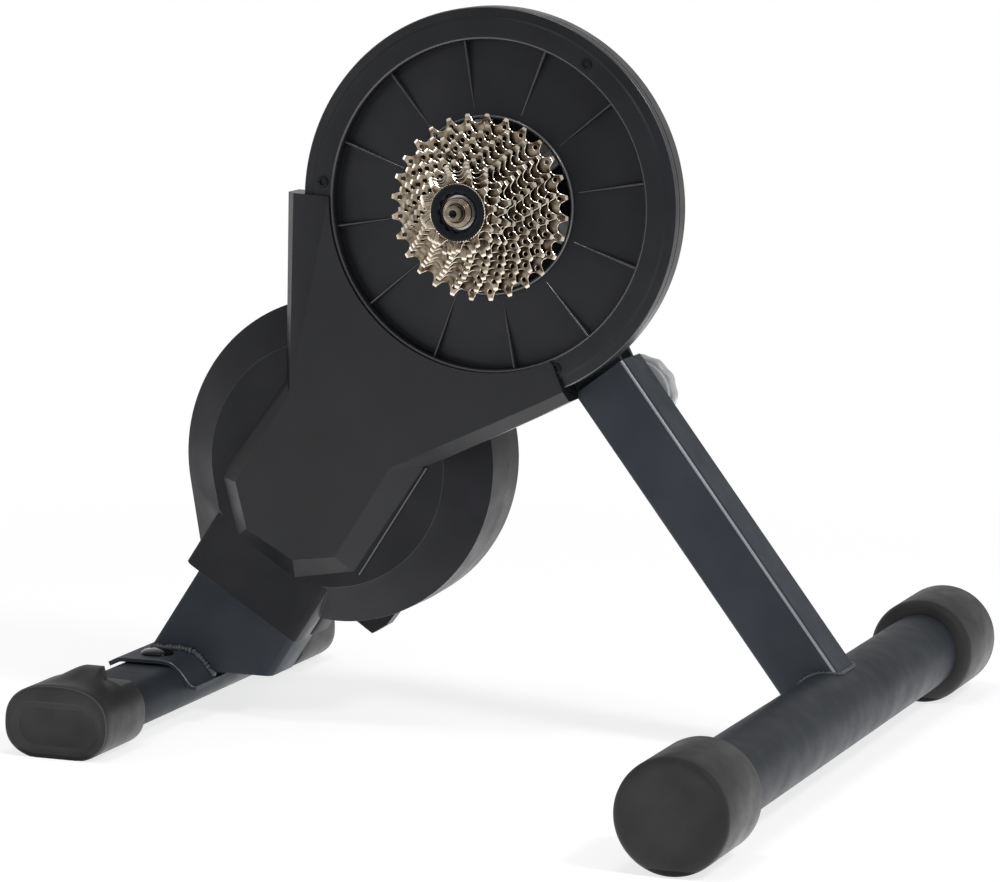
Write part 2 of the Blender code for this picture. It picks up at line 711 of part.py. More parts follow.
def build_pin_and_knob():
    pin = [(0.0, 17.4), (PIN_RADIUS, 17.4), (PIN_RADIUS, 65.6), (0.0, 65.6)]
    add(turned("hinge_pin", pin, 16, False), None, STEEL, FOLD_AXIS)
    r = KNOB_RADIUS
    knob = [(0.0, 66.0), (6.3, 66.0), (6.3, KNOB_NEAR), (12.0, KNOB_NEAR), (12.0, 58.5),
            (r - 2.2, 58.5), (r, 60.5), (r, 68.0), (r - 1.8, KNOB_FAR), (0.0, KNOB_FAR)]
    add(turned("clamp_knob", knob, 24, False), None, STEEL, FOLD_AXIS)


# Round housing
def cone_y(r):
    """Front of the dished floor at a radius."""
    share = (r - CONE_INNER) / (RECESS_RADIUS - 0.6 - CONE_INNER)
    return CONE_FRONT + share * (RECESS_FLOOR - CONE_FRONT)


def build_pulley_cover():
    r = HOUSING_RADIUS
    profile = [(LIP_INNER, LIP_FRONT), (LIP_OUTER, LIP_FRONT), (CONE_INNER + 0.2, CONE_FRONT),
               (RECESS_RADIUS - 0.6, RECESS_FLOOR), (RECESS_RADIUS, FLANGE_FRONT + 1.0),
               (RECESS_RADIUS + 1.0, FLANGE_FRONT), (r - FLANGE_STEP, FLANGE_FRONT), (r, HOUSING_EDGE),
               (r, HOUSING_SPLIT - 0.15), (r - HOUSING_WALL, HOUSING_SPLIT - 0.15),
               (r - HOUSING_WALL, FLANGE_FRONT + 2.8), (RECESS_RADIUS + 2.6, FLANGE_FRONT + 2.8),
               (RECESS_RADIUS + 2.4, COVER_WALL), (RECESS_RADIUS + 0.4, COVER_WALL),
               (LIP_INNER, CONE_FRONT + 2.4)]
    cover = hub(turned("pulley_cover", profile, 40))
    add(cover, None, COVER_BLACK)
    for i in range(RIB_COUNT):
        add_rib(cover, i)


def add_rib(cover, index):
    """Tapered fin standing on the dished floor."""
    outer = RECESS_RADIUS + 0.8
    inner = RIB_INNER
    half = RIB_WIDTH / 2
    bm = bmesh.new()
    section = [(outer, 1.2), (outer, RIB_OUTER_FRONT), (inner, RIB_INNER_FRONT),
               (inner, cone_y(inner) + 1.2)]
    sides = [[bm.verts.new((r * MM, w * MM, -y * MM)) for r, y in section] for w in (-half, half)]
    bm.faces.new(sides[0])
    bm.faces.new(list(reversed(sides[1])))
    for i in range(4):
        j = (i + 1) % 4
        bm.faces.new((sides[0][j], sides[0][i], sides[1][i], sides[1][j]))
    bmesh.ops.recalc_face_normals(bm, faces=bm.faces)
    rib = mesh_object("cover_rib_%02d" % index, bm)
    hub(rib)
    angle = RIB_START + index * 2 * math.pi / RIB_COUNT
    rib.rotation_mode = 'XYZ'
    rib.rotation_euler = (math.pi / 2, -angle, 0.0)
    join(cover, rib)


def tunnel(name, near, far, grow=4.0):
    """Space the belt runs in, from the small pulley to the big one."""
    small = SMALL_PULLEY_RADIUS + BELT_THICKNESS + grow
    big = BIG_PULLEY_RADIUS + BELT_THICKNESS + grow
    spread = math.asin((big - small) / AXIS_SPACING)
    outline = belt_line(small, big, spread, 8, 16)
    return at(plate(name, [outline], far - near), 0, (near + far) / 2, 0)


def belt_line(small, big, spread, small_steps, big_steps):
    """Loop round both pulleys."""
    up = math.atan2(UP[1], UP[0])
    points = []
    start = up + math.pi / 2 + spread
    sweep = math.pi - 2 * spread
    for i in range(small_steps + 1):
        a = start + sweep * i / small_steps
        points.append((FLY_X + small * math.cos(a), FLY_Z + small * math.sin(a)))
    start = up - math.pi / 2 - spread
    sweep = math.pi + 2 * spread
    for i in range(big_steps + 1):
        a = start + sweep * i / big_steps
        points.append((big * math.cos(a), AXLE_HEIGHT + big * math.sin(a)))
    return points


def belt_cover_line(upper, lower, last):
    """Outline from points measured from the hub, then from the flywheel axis, then one from the hub."""
    return ([(x, AXLE_HEIGHT + z) for x, z in upper] + [(FLY_X + x, FLY_Z + z) for x, z in lower]
            + [(last[0], AXLE_HEIGHT + last[1])])


def belt_cover_face():
    upper = ((-129.7, 1.8), (-96.0, 0.0), (41.0, -93.0), (46.3, -97.9), (53.3, -114.5), (38.2, -122.4))
    lower = ((46.5, 1.9), (9.8, -58.2), (-19.1, -62.3), (-51.3, -43.8), (-59.2, -14.3), (-56.5, -8.3))
    return belt_cover_line(upper, lower, (-130.8, -127.9))


def belt_cover_foot():
    upper = ((-136.6, 1.6), (-96.0, 0.6), (41.0, -91.0), (49.0, -96.2), (54.8, -121.8), (35.6, -132.0))
    lower = ((67.2, 2.2), (20.5, -68.4), (-20.8, -75.4), (-60.8, -50.9), (-71.7, -12.7), (-67.2, -3.2))
    return belt_cover_line(upper, lower, (-136.6, -119.0))


def drum_outline(radius, reach, grow=0.0):
    """Circle round the flywheel axis with a straight run down to the sleeve's left corner."""
    points = []
    for i in range(DRUM_STEPS + 1):
        turn = WING_ANGLE + (DRUM_LAST_ANGLE - WING_ANGLE) * i / DRUM_STEPS
        points.append(leg_xz(-(radius + grow) * math.cos(turn), -(radius + grow) * math.sin(turn)))
    points.append(leg_xz(-reach - grow, -WING_FOOT - grow))
    return points


def drum_solid(name, grow, far):
    """Outside of the drum, grown by a clearance, from its face to a Y plane."""
    full = drum_outline(DRUM_RADIUS, WING_REACH, grow)
    face = drum_outline(DRUM_FACE_RADIUS, WING_FRONT_REACH, grow / 2)
    return loft(name, [(face, DRUM_FRONT - grow), (full, DRUM_SHOULDER), (full, far)], True)


def sleeve_box(name, grow, near, far, start, end):
    return leg_box(name, 2 * (SLEEVE_HALF_WIDTH + grow), near, far, start, end, 5.0 + grow)


def build_belt_case():
    r = HOUSING_RADIUS
    split = HOUSING_SPLIT + 0.15
    profile = [(r - HOUSING_WALL, split), (r, split), (r, HOUSING_SHOULDER),
               (r - HOUSING_BACK_STEP, HOUSING_BACK), (CASE_BORE, HOUSING_BACK),
               (CASE_BORE, HOUSING_BACK - 2.2), (r - HOUSING_BACK_STEP - 1.2, HOUSING_BACK - 2.2),
               (r - HOUSING_WALL, HOUSING_SHOULDER - 0.8)]
    case = hub(turned("belt_case", profile, 40))
    add(case, None, COVER_BLACK)
    back = at(plate("case_back", [inset(belt_cover_foot(), BELT_COVER_WALL + 0.5)], 2.0),
              0, HOUSING_BACK - 1.1, 0)
    add(back, CUTTERS)
    cut(back, drum_solid("drum_space_case", 0.4, 60.0))
    cut(case, tunnel("tunnel_case", -4.0, HOUSING_BACK - 2.3, 3.0))
    join(case, back)


def build_belt_cover():
    face = belt_cover_face()
    foot = belt_cover_foot()
    cover = loft("belt_cover", [(face, BELT_COVER_FRONT), (foot, BELT_COVER_FOOT),
                                (foot, BELT_COVER_BACK)])
    add(cover, None, COVER_BLACK)
    w = BELT_COVER_WALL
    cavity = loft("belt_cover_cavity", [(inset(face, w * 0.8), BELT_COVER_FRONT + 2.1),
                                        (inset(foot, w), BELT_COVER_FOOT + 1.0),
                                        (inset(foot, w), BELT_COVER_BACK + 8.0)])
    cut(cover, cavity,
        hub(rod("housing_space", HOUSING_RADIUS + 0.4, FLANGE_FRONT - 0.2, 30.0, 40)),
        hub(rod("recess_space", BELT_COVER_CUTOUT, -30.0, 30.0, 40)),
        drum_solid("drum_space_cover", 0.4, 60.0))


# Drum
def build_drum_front():
    drum = drum_solid("drum_front_shell", 0.0, DRUM_SPLIT)
    add(drum, None, COVER_BLACK)
    join(drum, sleeve_box("sleeve_near", 0.0, DRUM_FRONT, SLEEVE_SPLIT, -SLEEVE_END, -50.0))
    w = DRUM_WALL
    inner = [(0.0, DRUM_FRONT + w), (DRUM_FACE_RADIUS - 0.8, DRUM_FRONT + w),
             (DRUM_RADIUS - w, DRUM_SHOULDER + 0.8), (DRUM_RADIUS - w, DRUM_SPLIT + 10),
             (0.0, DRUM_SPLIT + 10)]
    cut(drum, leg_space("leg_space_near"),
        hub(rod("housing_space_drum", HOUSING_RADIUS + 0.4, -20.0, HOUSING_BACK + 0.4, 40)),
        leg_box("sleeve_inside", 2 * (SLEEVE_HALF_WIDTH - w), DRUM_FRONT + w, LEG_NEAR + 3.0,
                -SLEEVE_END + w, -40.0, 3.0),
        tunnel("tunnel_drum", -8.0, HOUSING_BACK - 0.6, 3.0),
        fly(turned("drum_inside_near", inner, 40, False)))


def lug_outline():
    """Moulded lug under the drum."""
    points = ((-3.7, -88.7), (1.3, -110.2), (12.8, -117.9), (22.8, -111.7), (28.3, -104.2),
              (30.3, -88.7))
    return [(FLY_X + x, FLY_Z + z) for x, z in points]


def build_drum_back():
    w = DRUM_WALL
    split = DRUM_SPLIT + 0.3
    drum = loft("drum_back_shell",
                [(drum_outline(DRUM_RADIUS, WING_REACH), split),
                 (drum_outline(DRUM_SHOULDER_RADIUS, WING_REACH), DRUM_BACK_SHOULDER),
                 (drum_outline(DRUM_BACK_RADIUS, WING_FRONT_REACH), DRUM_BACK)], True)
    add(drum, None, COVER_BLACK)
    sleeve = sleeve_box("sleeve_far", 0.0, SLEEVE_SPLIT + 0.5, SLEEVE_BACK, -SLEEVE_END, -50.0)
    add(sleeve, CUTTERS)
    lug = at(plate("drum_lug", [lug_outline()], 11.0), 0, DRUM_SPLIT + 6.0, 0)
    cut(sleeve, drum_solid("drum_space_sleeve", 0.4, DRUM_SPLIT + 0.35))
    inner = [(0.0, split - 12), (DRUM_RADIUS - w, split - 12),
             (DRUM_SHOULDER_RADIUS - w, DRUM_BACK_SHOULDER - 0.8),
             (DRUM_BACK_RADIUS - 1.0, DRUM_BACK - w), (0.0, DRUM_BACK - w)]
    join(drum, sleeve, lug)
    cut(drum, leg_space("leg_space_far"), fly(turned("drum_inside_far", inner, 40, False)))


# Belt drive
def build_belt_pulley():
    r = BIG_PULLEY_RADIUS
    profile = [(18.0, -19.0), (22.0, -19.0), (22.0, 3.5), (r - 5.0, 3.5), (r - 4.0, BELT_NEAR - 0.2),
               (r, BELT_NEAR - 0.2), (r, BELT_FAR + 0.2), (r - 4.0, BELT_FAR + 0.2), (r - 5.0, 7.5),
               (22.0, 7.5), (22.0, 12.0), (14.4, 12.0), (14.4, -9.0), (18.0, -9.0)]
    pulley = turned("belt_pulley", profile, 30)
    add(pulley, None, ALLOY, HUB_AXIS)
    for i in range(6):
        middle = math.radians(60 * i + 12)
        points = []
        for radius, half in ((34.0, 0.30), (84.0, 0.40)):
            ends = (middle - half, middle + half)
            for a in (ends if radius < 50 else reversed(ends)):
                points.append((radius * math.cos(a), radius * math.sin(a)))
        window = plate("pulley_window_%d" % i, [points], 12.0)
        at(window, 0, 5.5, AXLE_HEIGHT)
        cut(pulley, window)


def build_belt():
    grow = BELT_CLEARANCE
    small = SMALL_PULLEY_RADIUS + grow
    big = BIG_PULLEY_RADIUS + grow
    spread = math.asin((big - small) / AXIS_SPACING)
    inner = belt_line(small, big, spread, 6, 22)
    outer = belt_line(small + BELT_THICKNESS, big + BELT_THICKNESS, spread, 6, 22)
    belt = at(plate("belt", [outer, inner], BELT_FAR - BELT_NEAR), 0, (BELT_NEAR + BELT_FAR) / 2, 0)
    add(belt, None, BELT_RUBBER)


def idler_xz():
    small = SMALL_PULLEY_RADIUS + BELT_CLEARANCE
    big = BIG_PULLEY_RADIUS + BELT_CLEARANCE
    spread = math.asin((big - small) / AXIS_SPACING)
    reach = small - IDLER_RADIUS - 0.4
    v = -(reach + math.sin(spread) * IDLER_REACH) / math.cos(spread)
    return leg_xz(IDLER_REACH, v)


def build_idler():
    ix, iz = idler_xz()
    bx, bz = leg_xz(IDLER_BOLT_T, 0.0)
    along = math.atan2(iz - bz, ix - bx)
    outline = []
    for cx, cz, base in ((bx, bz, along + math.pi / 2), (ix, iz, along - math.pi / 2)):
        for i in range(7):
            a = base + math.pi * i / 6
            outline.append((cx + 8.5 * math.cos(a), cz + 8.5 * math.sin(a)))
    arm = plate("idler_bracket", [outline, circle(4.3, 10, ix, iz), circle(3.4, 10, bx, bz)], 2.2)
    add(at(arm, 0, 13.0, 0), None, STEEL)
    r = IDLER_RADIUS
    wheel = [(4.3, BELT_NEAR - 0.5), (r, BELT_NEAR - 0.5), (r, BELT_FAR + 0.4), (4.3, BELT_FAR + 0.4)]
    add(at(turned("idler_wheel", wheel, 16), ix, 0, iz), None, SPACER)
    axle = [(0.0, -1.6), (6.5, -1.6), (6.5, 0.2), (3.8, 0.2), (3.8, 13.8), (0.0, 13.8)]
    lock = [(0.0, 7.6), (6.0, 7.6), (6.0, 11.6), (3.0, 11.6), (3.0, 22.0), (0.0, 22.0)]
    add(at(turned("idler_axle", axle, 10, False), ix, 0, iz), None, DARK_STEEL)
    add(at(turned("idler_lock_bolt", lock, 10, False), bx, 0, bz), None, DARK_STEEL)


# Hub and cassette
def build_axle():
    r = AXLE_RADIUS
    profile = [(SKEWER_RADIUS, AXLE_NEAR), (STUB_RADIUS, AXLE_NEAR), (STUB_RADIUS, -66.5), (r, -66.5),
               (r, 60.0), (STUB_RADIUS, 60.0), (STUB_RADIUS, AXLE_FAR), (SKEWER_RADIUS, AXLE_FAR)]
    add(turned("hub_axle", profile, 12), None, STEEL, HUB_AXIS)
    near = [(r + GAP, -67.4), (NUT_RADIUS - 1.0, -67.4), (NUT_RADIUS, -66.4), (NUT_RADIUS, -61.2),
            (r + GAP, -61.2)]
    add(turned("axle_nut_drive", near, 16), None, STEEL, HUB_AXIS)
    far = [(r + GAP, LEG_FAR + GAP), (FAR_NUT_RADIUS, LEG_FAR + GAP), (FAR_NUT_RADIUS, FAR_FACE),
           (r + GAP, FAR_FACE)]
    add(turned("axle_nut_far", far, 16), None, STEEL, HUB_AXIS)


def ring(name, inner, outer, near, far, segments):
    return turned(name, [(inner, near), (outer, near), (outer, far), (inner, far)], segments)


def build_hub():
    bore = AXLE_RADIUS + GAP
    add(ring("hub_bearing_near", bore, 14.0, -7.5, 0.5, 14), None, STEEL, HUB_AXIS)
    add(ring("hub_bearing_far", bore, 14.0, 4.0, 11.6, 14), None, STEEL, HUB_AXIS)
    r = FREEHUB_RADIUS
    body = [(12.4, -61.8), (r, -61.8), (r, -22.8), (20.5, -22.8), (20.5, -20.0), (14.6, -20.0),
            (14.6, -10.2), (12.4, -10.2), (12.4, -21.5), (9.0, -21.5), (9.0, -52.0), (12.4, -52.0)]
    add(turned("freehub_body", body, 18), None, ALLOY, HUB_AXIS)
    add(ring("freehub_bearing_near", bore, 12.0, -60.5, -52.5, 14), None, STEEL, HUB_AXIS)
    add(ring("freehub_bearing_far", bore, 12.0, -21.0, -12.5, 14), None, STEEL, HUB_AXIS)
    pawls = add(ring("freehub_pawls", 14.95, 16.0, -18.5, -11.5, 18), None, DARK_STEEL, HUB_AXIS)
    for i in range(3):
        pawl = box("pawl_%d" % i, (2.2, 6.0, 6.0))
        a = 2 * math.pi * i / 3 + 0.2
        at(pawl, 16.4 * math.cos(a), -15.0, AXLE_HEIGHT + 16.4 * math.sin(a))
        pawl.rotation_euler = (0.0, -a, 0.0)
        join(pawls, pawl)


def sprocket_outline(teeth):
    pitch = CHAIN_PITCH / (2 * math.sin(math.pi / teeth))
    tip = pitch + TOOTH_RISE
    root = pitch - ROLLER_RADIUS - 0.8
    points = []
    for i in range(teeth):
        for share, radius in ((-0.12, tip), (0.12, tip), (0.5, root)):
            a = 2 * math.pi * (i + share) / teeth + SPROCKET_TURN
            points.append((radius * math.cos(a), radius * math.sin(a)))
    return points


def build_cassette():
    bore = circle(SPROCKET_BORE / math.cos(math.pi / 12), 12)
    for i, teeth in enumerate(SPROCKET_TEETH):
        y = LARGEST_SPROCKET_Y - i * SPROCKET_PITCH
        disc = plate("sprocket_%02dt" % teeth, [sprocket_outline(teeth), bore], SPROCKET_THICKNESS)
        add(at(disc, 0, y, 0), None, NICKEL, HUB_AXIS)
        if i > 0:
            far = y + SPROCKET_PITCH - SPROCKET_THICKNESS / 2 - GAP
            join(disc, hub(ring("collar_%02dt" % teeth, COLLAR_BORE, COLLAR_RADIUS, y + 0.2, far, 8)))
    r = LOCK_RING_RADIUS
    lock = [(13.2, -64.6), (r - 1.0, -65.4), (r, -64.8), (r, -62.15), (12.8, -62.15), (12.8, -63.6)]
    add(turned("lock_ring", lock, 18), None, DARK_STEEL, HUB_AXIS)


# Flywheel and brake
def build_flywheel():
    bore = SHAFT_RADIUS + GAP
    profile = [(bore, FLYWHEEL_HUB_NEAR), (FLYWHEEL_HUB_RADIUS, FLYWHEEL_HUB_NEAR),
               (FLYWHEEL_HUB_RADIUS, FLYWHEEL_WEB), (FLYWHEEL_RIM_INNER, FLYWHEEL_WEB),
               (FLYWHEEL_RIM_INNER, FLYWHEEL_NEAR), (FLYWHEEL_RADIUS, FLYWHEEL_NEAR),
               (FLYWHEEL_RADIUS, FLYWHEEL_SHOULDER), (FLYWHEEL_BACK_RADIUS, FLYWHEEL_FAR),
               (bore, FLYWHEEL_FAR)]
    add(turned("flywheel", profile, 30), None, IRON, FLY_AXIS)
    shaft = [(0.0, -3.0), (SHAFT_RADIUS, -3.0), (SHAFT_RADIUS, 91.0), (0.0, 91.0)]
    add(turned("flywheel_shaft", shaft, 16, False), None, STEEL, FLY_AXIS)
    r = SMALL_PULLEY_RADIUS
    pulley = [(bore, -2.0), (12.0, -2.0), (12.0, -0.6), (r, 0.6), (r, BELT_FAR + 0.3), (bore, BELT_FAR + 0.3)]
    add(turned("flywheel_pulley", pulley, 18), None, ALLOY, FLY_AXIS)
    outer = FLYWHEEL_BEARING_BORE - GAP
    add(ring("flywheel_bearing_near", bore, outer, LEG_NEAR + 0.7, LEG_NEAR + 11.0, 16),
        None, STEEL, FLY_AXIS)
    add(ring("flywheel_bearing_far", bore, outer, LEG_FAR - 11.0, LEG_FAR - 0.3, 16),
        None, STEEL, FLY_AXIS)


def build_brake():
    middle = (POLE_NEAR + POLE_FAR) / 2
    core = ring("brake_core", CORE_INNER, CORE_OUTER, LEG_FAR + 0.4, POLE_FAR + 0.5, 16)
    add(core, None, IRON, FLY_AXIS)
    near = middle - COIL_DEPTH / 2 - 0.5
    coils = ring("brake_coils", COIL_MIDDLE - COIL_RING_HALF, COIL_MIDDLE + COIL_RING_HALF, near,
                 near + 1.8, 18)
    add(coils, None, COPPER, FLY_AXIS)
    reach = POLE_REACH - POLE_START
    depth = POLE_FAR - POLE_NEAR
    for i in range(POLE_COUNT):
        a = 2 * math.pi * i / POLE_COUNT + LEG_TILT
        pole = box("pole_%d" % i, (reach, depth, POLE_SIZE))
        turn_out(pole, POLE_START + reach / 2, middle, a)
        join(core, pole)
        coil = box("coil_%d" % i, (COIL_LENGTH, COIL_DEPTH, COIL_SIZE))
        hole = box("coil_hole_%d" % i, (3 * COIL_LENGTH, depth + 0.8, POLE_SIZE + 0.8))
        turn_out(coil, COIL_MIDDLE, middle, a)
        turn_out(hole, COIL_MIDDLE, middle, a)
        join(coils, coil)
        cut(coils, hole)


def turn_out(obj, radius, y, angle):
    """Place a piece out from the flywheel axis at an angle, its local X pointing out."""
    at(obj, FLY_X + radius * math.cos(angle), y, FLY_Z + radius * math.sin(angle))
    obj.rotation_euler = (0.0, -angle, 0.0)


def build_electronics():
    board = leg_box("control_board", 44.0, 6.0, 7.6, -98.0, -46.0)
    add(board, None, BOARD)
    join(board, leg_box("board_chip", 14.0, 3.4, 6.8, -84.0, -68.0),
         leg_box("board_plug", 24.0, 1.5, 6.8, -60.0, -50.0),
         leg_box("board_post", 8.0, 7.0, LEG_NEAR - GAP, -94.0, -86.0),
         leg_box("board_post_top", 8.0, 7.0, LEG_NEAR - GAP, -58.0, -50.0))
    sensor = leg_box("speed_sensor", 14.0, LEG_FAR + GAP, 56.8, 80.0, 94.0)
    add(sensor, None, COVER_BLACK)
    r = INLET_RADIUS
    back = DRUM_BACK + GAP
    front = DRUM_BACK + INLET_HEIGHT
    inlet = [(0.0, back), (r + 2.0, back), (r + 2.0, back + 1.5), (r, back + 2.5), (r, front),
             (INLET_BORE, front), (INLET_BORE, front - INLET_DEPTH), (0.0, front - INLET_DEPTH)]
    add(at(turned("power_inlet", inlet, 16, False), FLY_X + INLET_PLACE[0], 0, FLY_Z + INLET_PLACE[1]),
        None, COVER_BLACK)


build_frame()
build_leg_plug()
build_rear_foot()
build_rear_caps()
build_strut()
build_front_foot()
build_bracket()
build_pin_and_knob()
build_pulley_cover()
build_belt_case()
build_belt_cover()
build_drum_front()
build_drum_back()
build_belt_pulley()
build_belt()
build_idler()
build_axle()
build_hub()
build_cassette()
build_flywheel()
build_brake()
build_electronics()
bpy.context.view_layer.update()
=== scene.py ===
"""Looks of the direct-drive smart bike trainer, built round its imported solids.

Shapes are written in millimetres and made in metres. The bike's front is at +X, the chain
side at -Y and up is +Z. Every mesh holds its place in its points, so object coordinates are
world coordinates in all materials. The solids that show are kept, rounded at their edges, or
replaced by a finer piece of the same outline.
"""
import json
import math

import bmesh
import bpy
from mathutils import Matrix, Vector


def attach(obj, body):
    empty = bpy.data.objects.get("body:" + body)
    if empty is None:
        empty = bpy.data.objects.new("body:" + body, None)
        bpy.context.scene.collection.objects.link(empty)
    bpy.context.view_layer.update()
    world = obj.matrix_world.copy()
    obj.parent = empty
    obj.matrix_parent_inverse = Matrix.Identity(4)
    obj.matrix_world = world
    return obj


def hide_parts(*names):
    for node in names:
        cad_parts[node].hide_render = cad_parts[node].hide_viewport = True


MM = 0.001

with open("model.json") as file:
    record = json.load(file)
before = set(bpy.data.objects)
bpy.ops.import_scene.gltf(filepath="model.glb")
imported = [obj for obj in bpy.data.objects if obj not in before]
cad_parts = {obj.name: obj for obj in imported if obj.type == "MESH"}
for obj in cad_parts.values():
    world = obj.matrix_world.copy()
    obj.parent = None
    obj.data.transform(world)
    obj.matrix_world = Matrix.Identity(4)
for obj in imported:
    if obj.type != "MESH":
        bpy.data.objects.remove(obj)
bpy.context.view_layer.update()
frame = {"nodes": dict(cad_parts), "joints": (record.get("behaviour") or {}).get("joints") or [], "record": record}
NODES = frame["nodes"]
JOINTS = {joint["name"]: joint for joint in frame["joints"]}
SLOTS = {part["node"]: part["material_slot"] for part in frame["record"]["subparts"]}
BODIES = {name: body for body, names in frame["record"]["behaviour"]["bodies"].items()
          for name in names}


def joint_place(name):
    """Place of a joint in millimetres."""
    return Vector(JOINTS[name]["pos_m"]) / MM


def node_box(name):
    """Lowest and highest corner of a solid, in millimetres."""
    points = [NODES[name].matrix_world @ vert.co / MM for vert in NODES[name].data.vertices]
    return ([min(p[axis] for p in points) for axis in range(3)],
            [max(p[axis] for p in points) for axis in range(3)])


def node_middle(name):
    """Middle of a solid's box, in millimetres."""
    low, high = node_box(name)
    return (Vector(low) + Vector(high)) / 2


HUB = joint_place("pulley_spin")
FLY = joint_place("flywheel_spin")
FOLD = joint_place("front_fold")

# Round housing: radii from the hub's axis, and places along Y
COVER_LOW, COVER_HIGH = node_box("pulley_cover")
HOUSING_RADIUS = (COVER_HIGH[0] - COVER_LOW[0]) / 2
HOUSING_SPLIT = -2.0
FLANGE_FRONT = -10.5
FLANGE_RADIUS = 117.0
HOUSING_WALL = 2.8
RECESS_RADIUS = 104.1
RECESS_FLOOR = -1.2
CONE_OUTER = RECESS_RADIUS - 0.6
CONE_INNER = 57.5
CONE_FRONT = -8.0
CONE_BACK = 0.9
LIP_OUTER = 56.9
LIP_INNER = 54.0
LIP_FRONT = -9.6
LIP_BACK = -5.6
RIB_COUNT = 12
RIB_START = math.radians(10.2)
RIB_FOOT = 60.5
RIB_OUTER_FRONT = -6.5
RIB_INNER_FRONT = -7.7
FLANGE_SCREWS = (55.0, 175.0, 295.5)
FLANGE_SCREW_REACH = 111.0
FLANGE_SCREW_RADIUS = 3.6

# Cassette; each sprocket has its count of teeth and the angle of its first one in degrees
CHAIN_PITCH = 12.7
ROLLER_RADIUS = 3.97
TOOTH_RISE = 2.1
TIP_START = 0.5
TIP_HALF = 1.75
SEAT_ANGLE = math.radians(70.0)
SEAT_STEPS = 8
SPROCKET_THICKNESS = 1.6
SPROCKET_EDGE = 0.28
SPROCKETS = ((28, 8.7), (25, 11.1), (23, 8.4), (21, 5.7), (19, 0.6), (17, 15.7), (15, 11.5),
             (14, 12.4), (13, 3.0), (12, 20.0), (11, 8.0))
SPROCKET_BORE = 17.9
SPACER_INNER = 18.4
SPACER_OUTER = 19.8
TOOTH_HOLE_DROP = 3.6
TOOTH_HOLE_RADIUS = 1.4
TOOTH_HOLES_FROM = 15

# Feet, saddle and welds
TUBE_WALL = 2.0
REAR_CAP_HALF = 35.0
REAR_CAP_TOP = 25.4
REAR_CAP_BOTTOM = 23.0
REAR_CAP_MIDDLE = 21.0
REAR_CAP_POWER = 2.5
REAR_CAP_STEPS = 192
REAR_SLEEVE_TOP = 41.0
REAR_HOOD = 42.0
REAR_HOOD_LIFT = 6.6
RECESS_HALF_WIDTH = 27.0
RECESS_HALF_HEIGHT = 12.7
RECESS_MIDDLE = 19.3
SADDLE_LINE = ((-25.6, 0.2), (-18.6, 4.0), (12.0, 4.4), (19.5, 3.2), (26.0, -2.2),
               (30.8, -8.4), (33.6, -11.0), (36.8, -11.2))
SADDLE_MIDDLE = (-226.4, 35.6)
SADDLE_THICKNESS = 3.0
SADDLE_EDGE = 0.45
LEG_WELD_LINE = ((-10.0, 4.1), (12.0, 4.2), (19.5, 3.0), (26.0, -2.4), (30.8, -8.4),
                 (33.6, -11.0), (35.8, -11.2))
LEG_WELD_SIDE = 13.4
LEG_WELD_LIFT = 1.3
LEG_WELD_RADIUS = 2.4
STRUT_WELD_RADIUS = 1.3
STRUT_WELD_STEPS = 120
SEAM_START = (-86.5, 104.0)
SEAM_END = (-41.5, 176.2)

# Solids that keep their outline, and the width that rounds their edges
ROUNDED_NODES = (("belt_cover", 1.1), ("drum_front_shell", 1.0), ("drum_back_shell", 1.2),
                 ("belt_case", 0.6), ("strut_bracket", 0.5), ("frame_tube", 0.3),
                 ("front_strut", 0.3))
ROUND_SHELLS = ("belt_cover", "drum_front_shell", "drum_back_shell", "belt_case")

# Camera
CAMERA_PLACE = (1.03215, -2.90017, 0.64237)
CAMERA_AZIMUTH = math.radians(19.21)
CAMERA_ELEVATION = math.radians(8.446)
CAMERA_ROLL = math.radians(1.054)
CAMERA_LENS = 176.85
CAMERA_SENSOR = 36.0
CAMERA_SHIFT = (-0.02042, 0.01486)

# Floor and light; a light has its place, size, power and, where it isn't the middle, its target
STAGE_RADIUS = 6.0
STAGE_DROP = 0.0002
WORLD_LEVEL = 0.34
SHADOW_SHARE = 0.42
WHITE = (1.0, 1.0, 1.0, 1.0)
LIGHTS = (("table_glow", (0.0, -0.1, 0.002), (2.4, 2.0), 19.0, (0.0, -0.1, 1.0)),
          ("key_top", (0.1, -0.7, 2.7), (0.7, 0.4), 12.0),
          ("key_edge", (1.52, -0.74, 1.75), (0.35, 0.35), 15.0),
          ("front_left", (-1.7, -2.0, 0.7), (0.7, 0.9), 6.0),
          ("side_right", (2.2, -0.9, 0.9), (0.9, 1.4), 1.0))


def look_from(azimuth, elevation, roll=0.0):
    """Rotation whose local Z points from the object to the viewer."""
    back = Vector((math.sin(azimuth) * math.cos(elevation),
                   -math.cos(azimuth) * math.cos(elevation), math.sin(elevation)))
    level = Vector((math.cos(azimuth), math.sin(azimuth), 0.0))
    up = back.cross(level)
    right = level * math.cos(roll) + up * math.sin(roll)
    up = back.cross(right)
    return Matrix((right, up, back)).transposed()


def add_camera():
    data = bpy.data.cameras.new("camera")
    data.sensor_width = CAMERA_SENSOR
    data.lens = CAMERA_LENS
    data.shift_x, data.shift_y = CAMERA_SHIFT
    data.clip_end = 50.0
    camera = bpy.data.objects.new("camera", data)
    turn = look_from(CAMERA_AZIMUTH, CAMERA_ELEVATION, CAMERA_ROLL)
    camera.matrix_world = Matrix.Translation(CAMERA_PLACE) @ turn.to_4x4()
    bpy.context.scene.collection.objects.link(camera)
    bpy.context.scene.camera = camera


# Node helpers
def node(tree, kind, **inputs):
    """New shader node; the keywords are its inputs, with _ for a space."""
    made = tree.nodes.new(kind)
    for name, value in inputs.items():
        made.inputs[name.replace("_", " ")].default_value = value
    return made


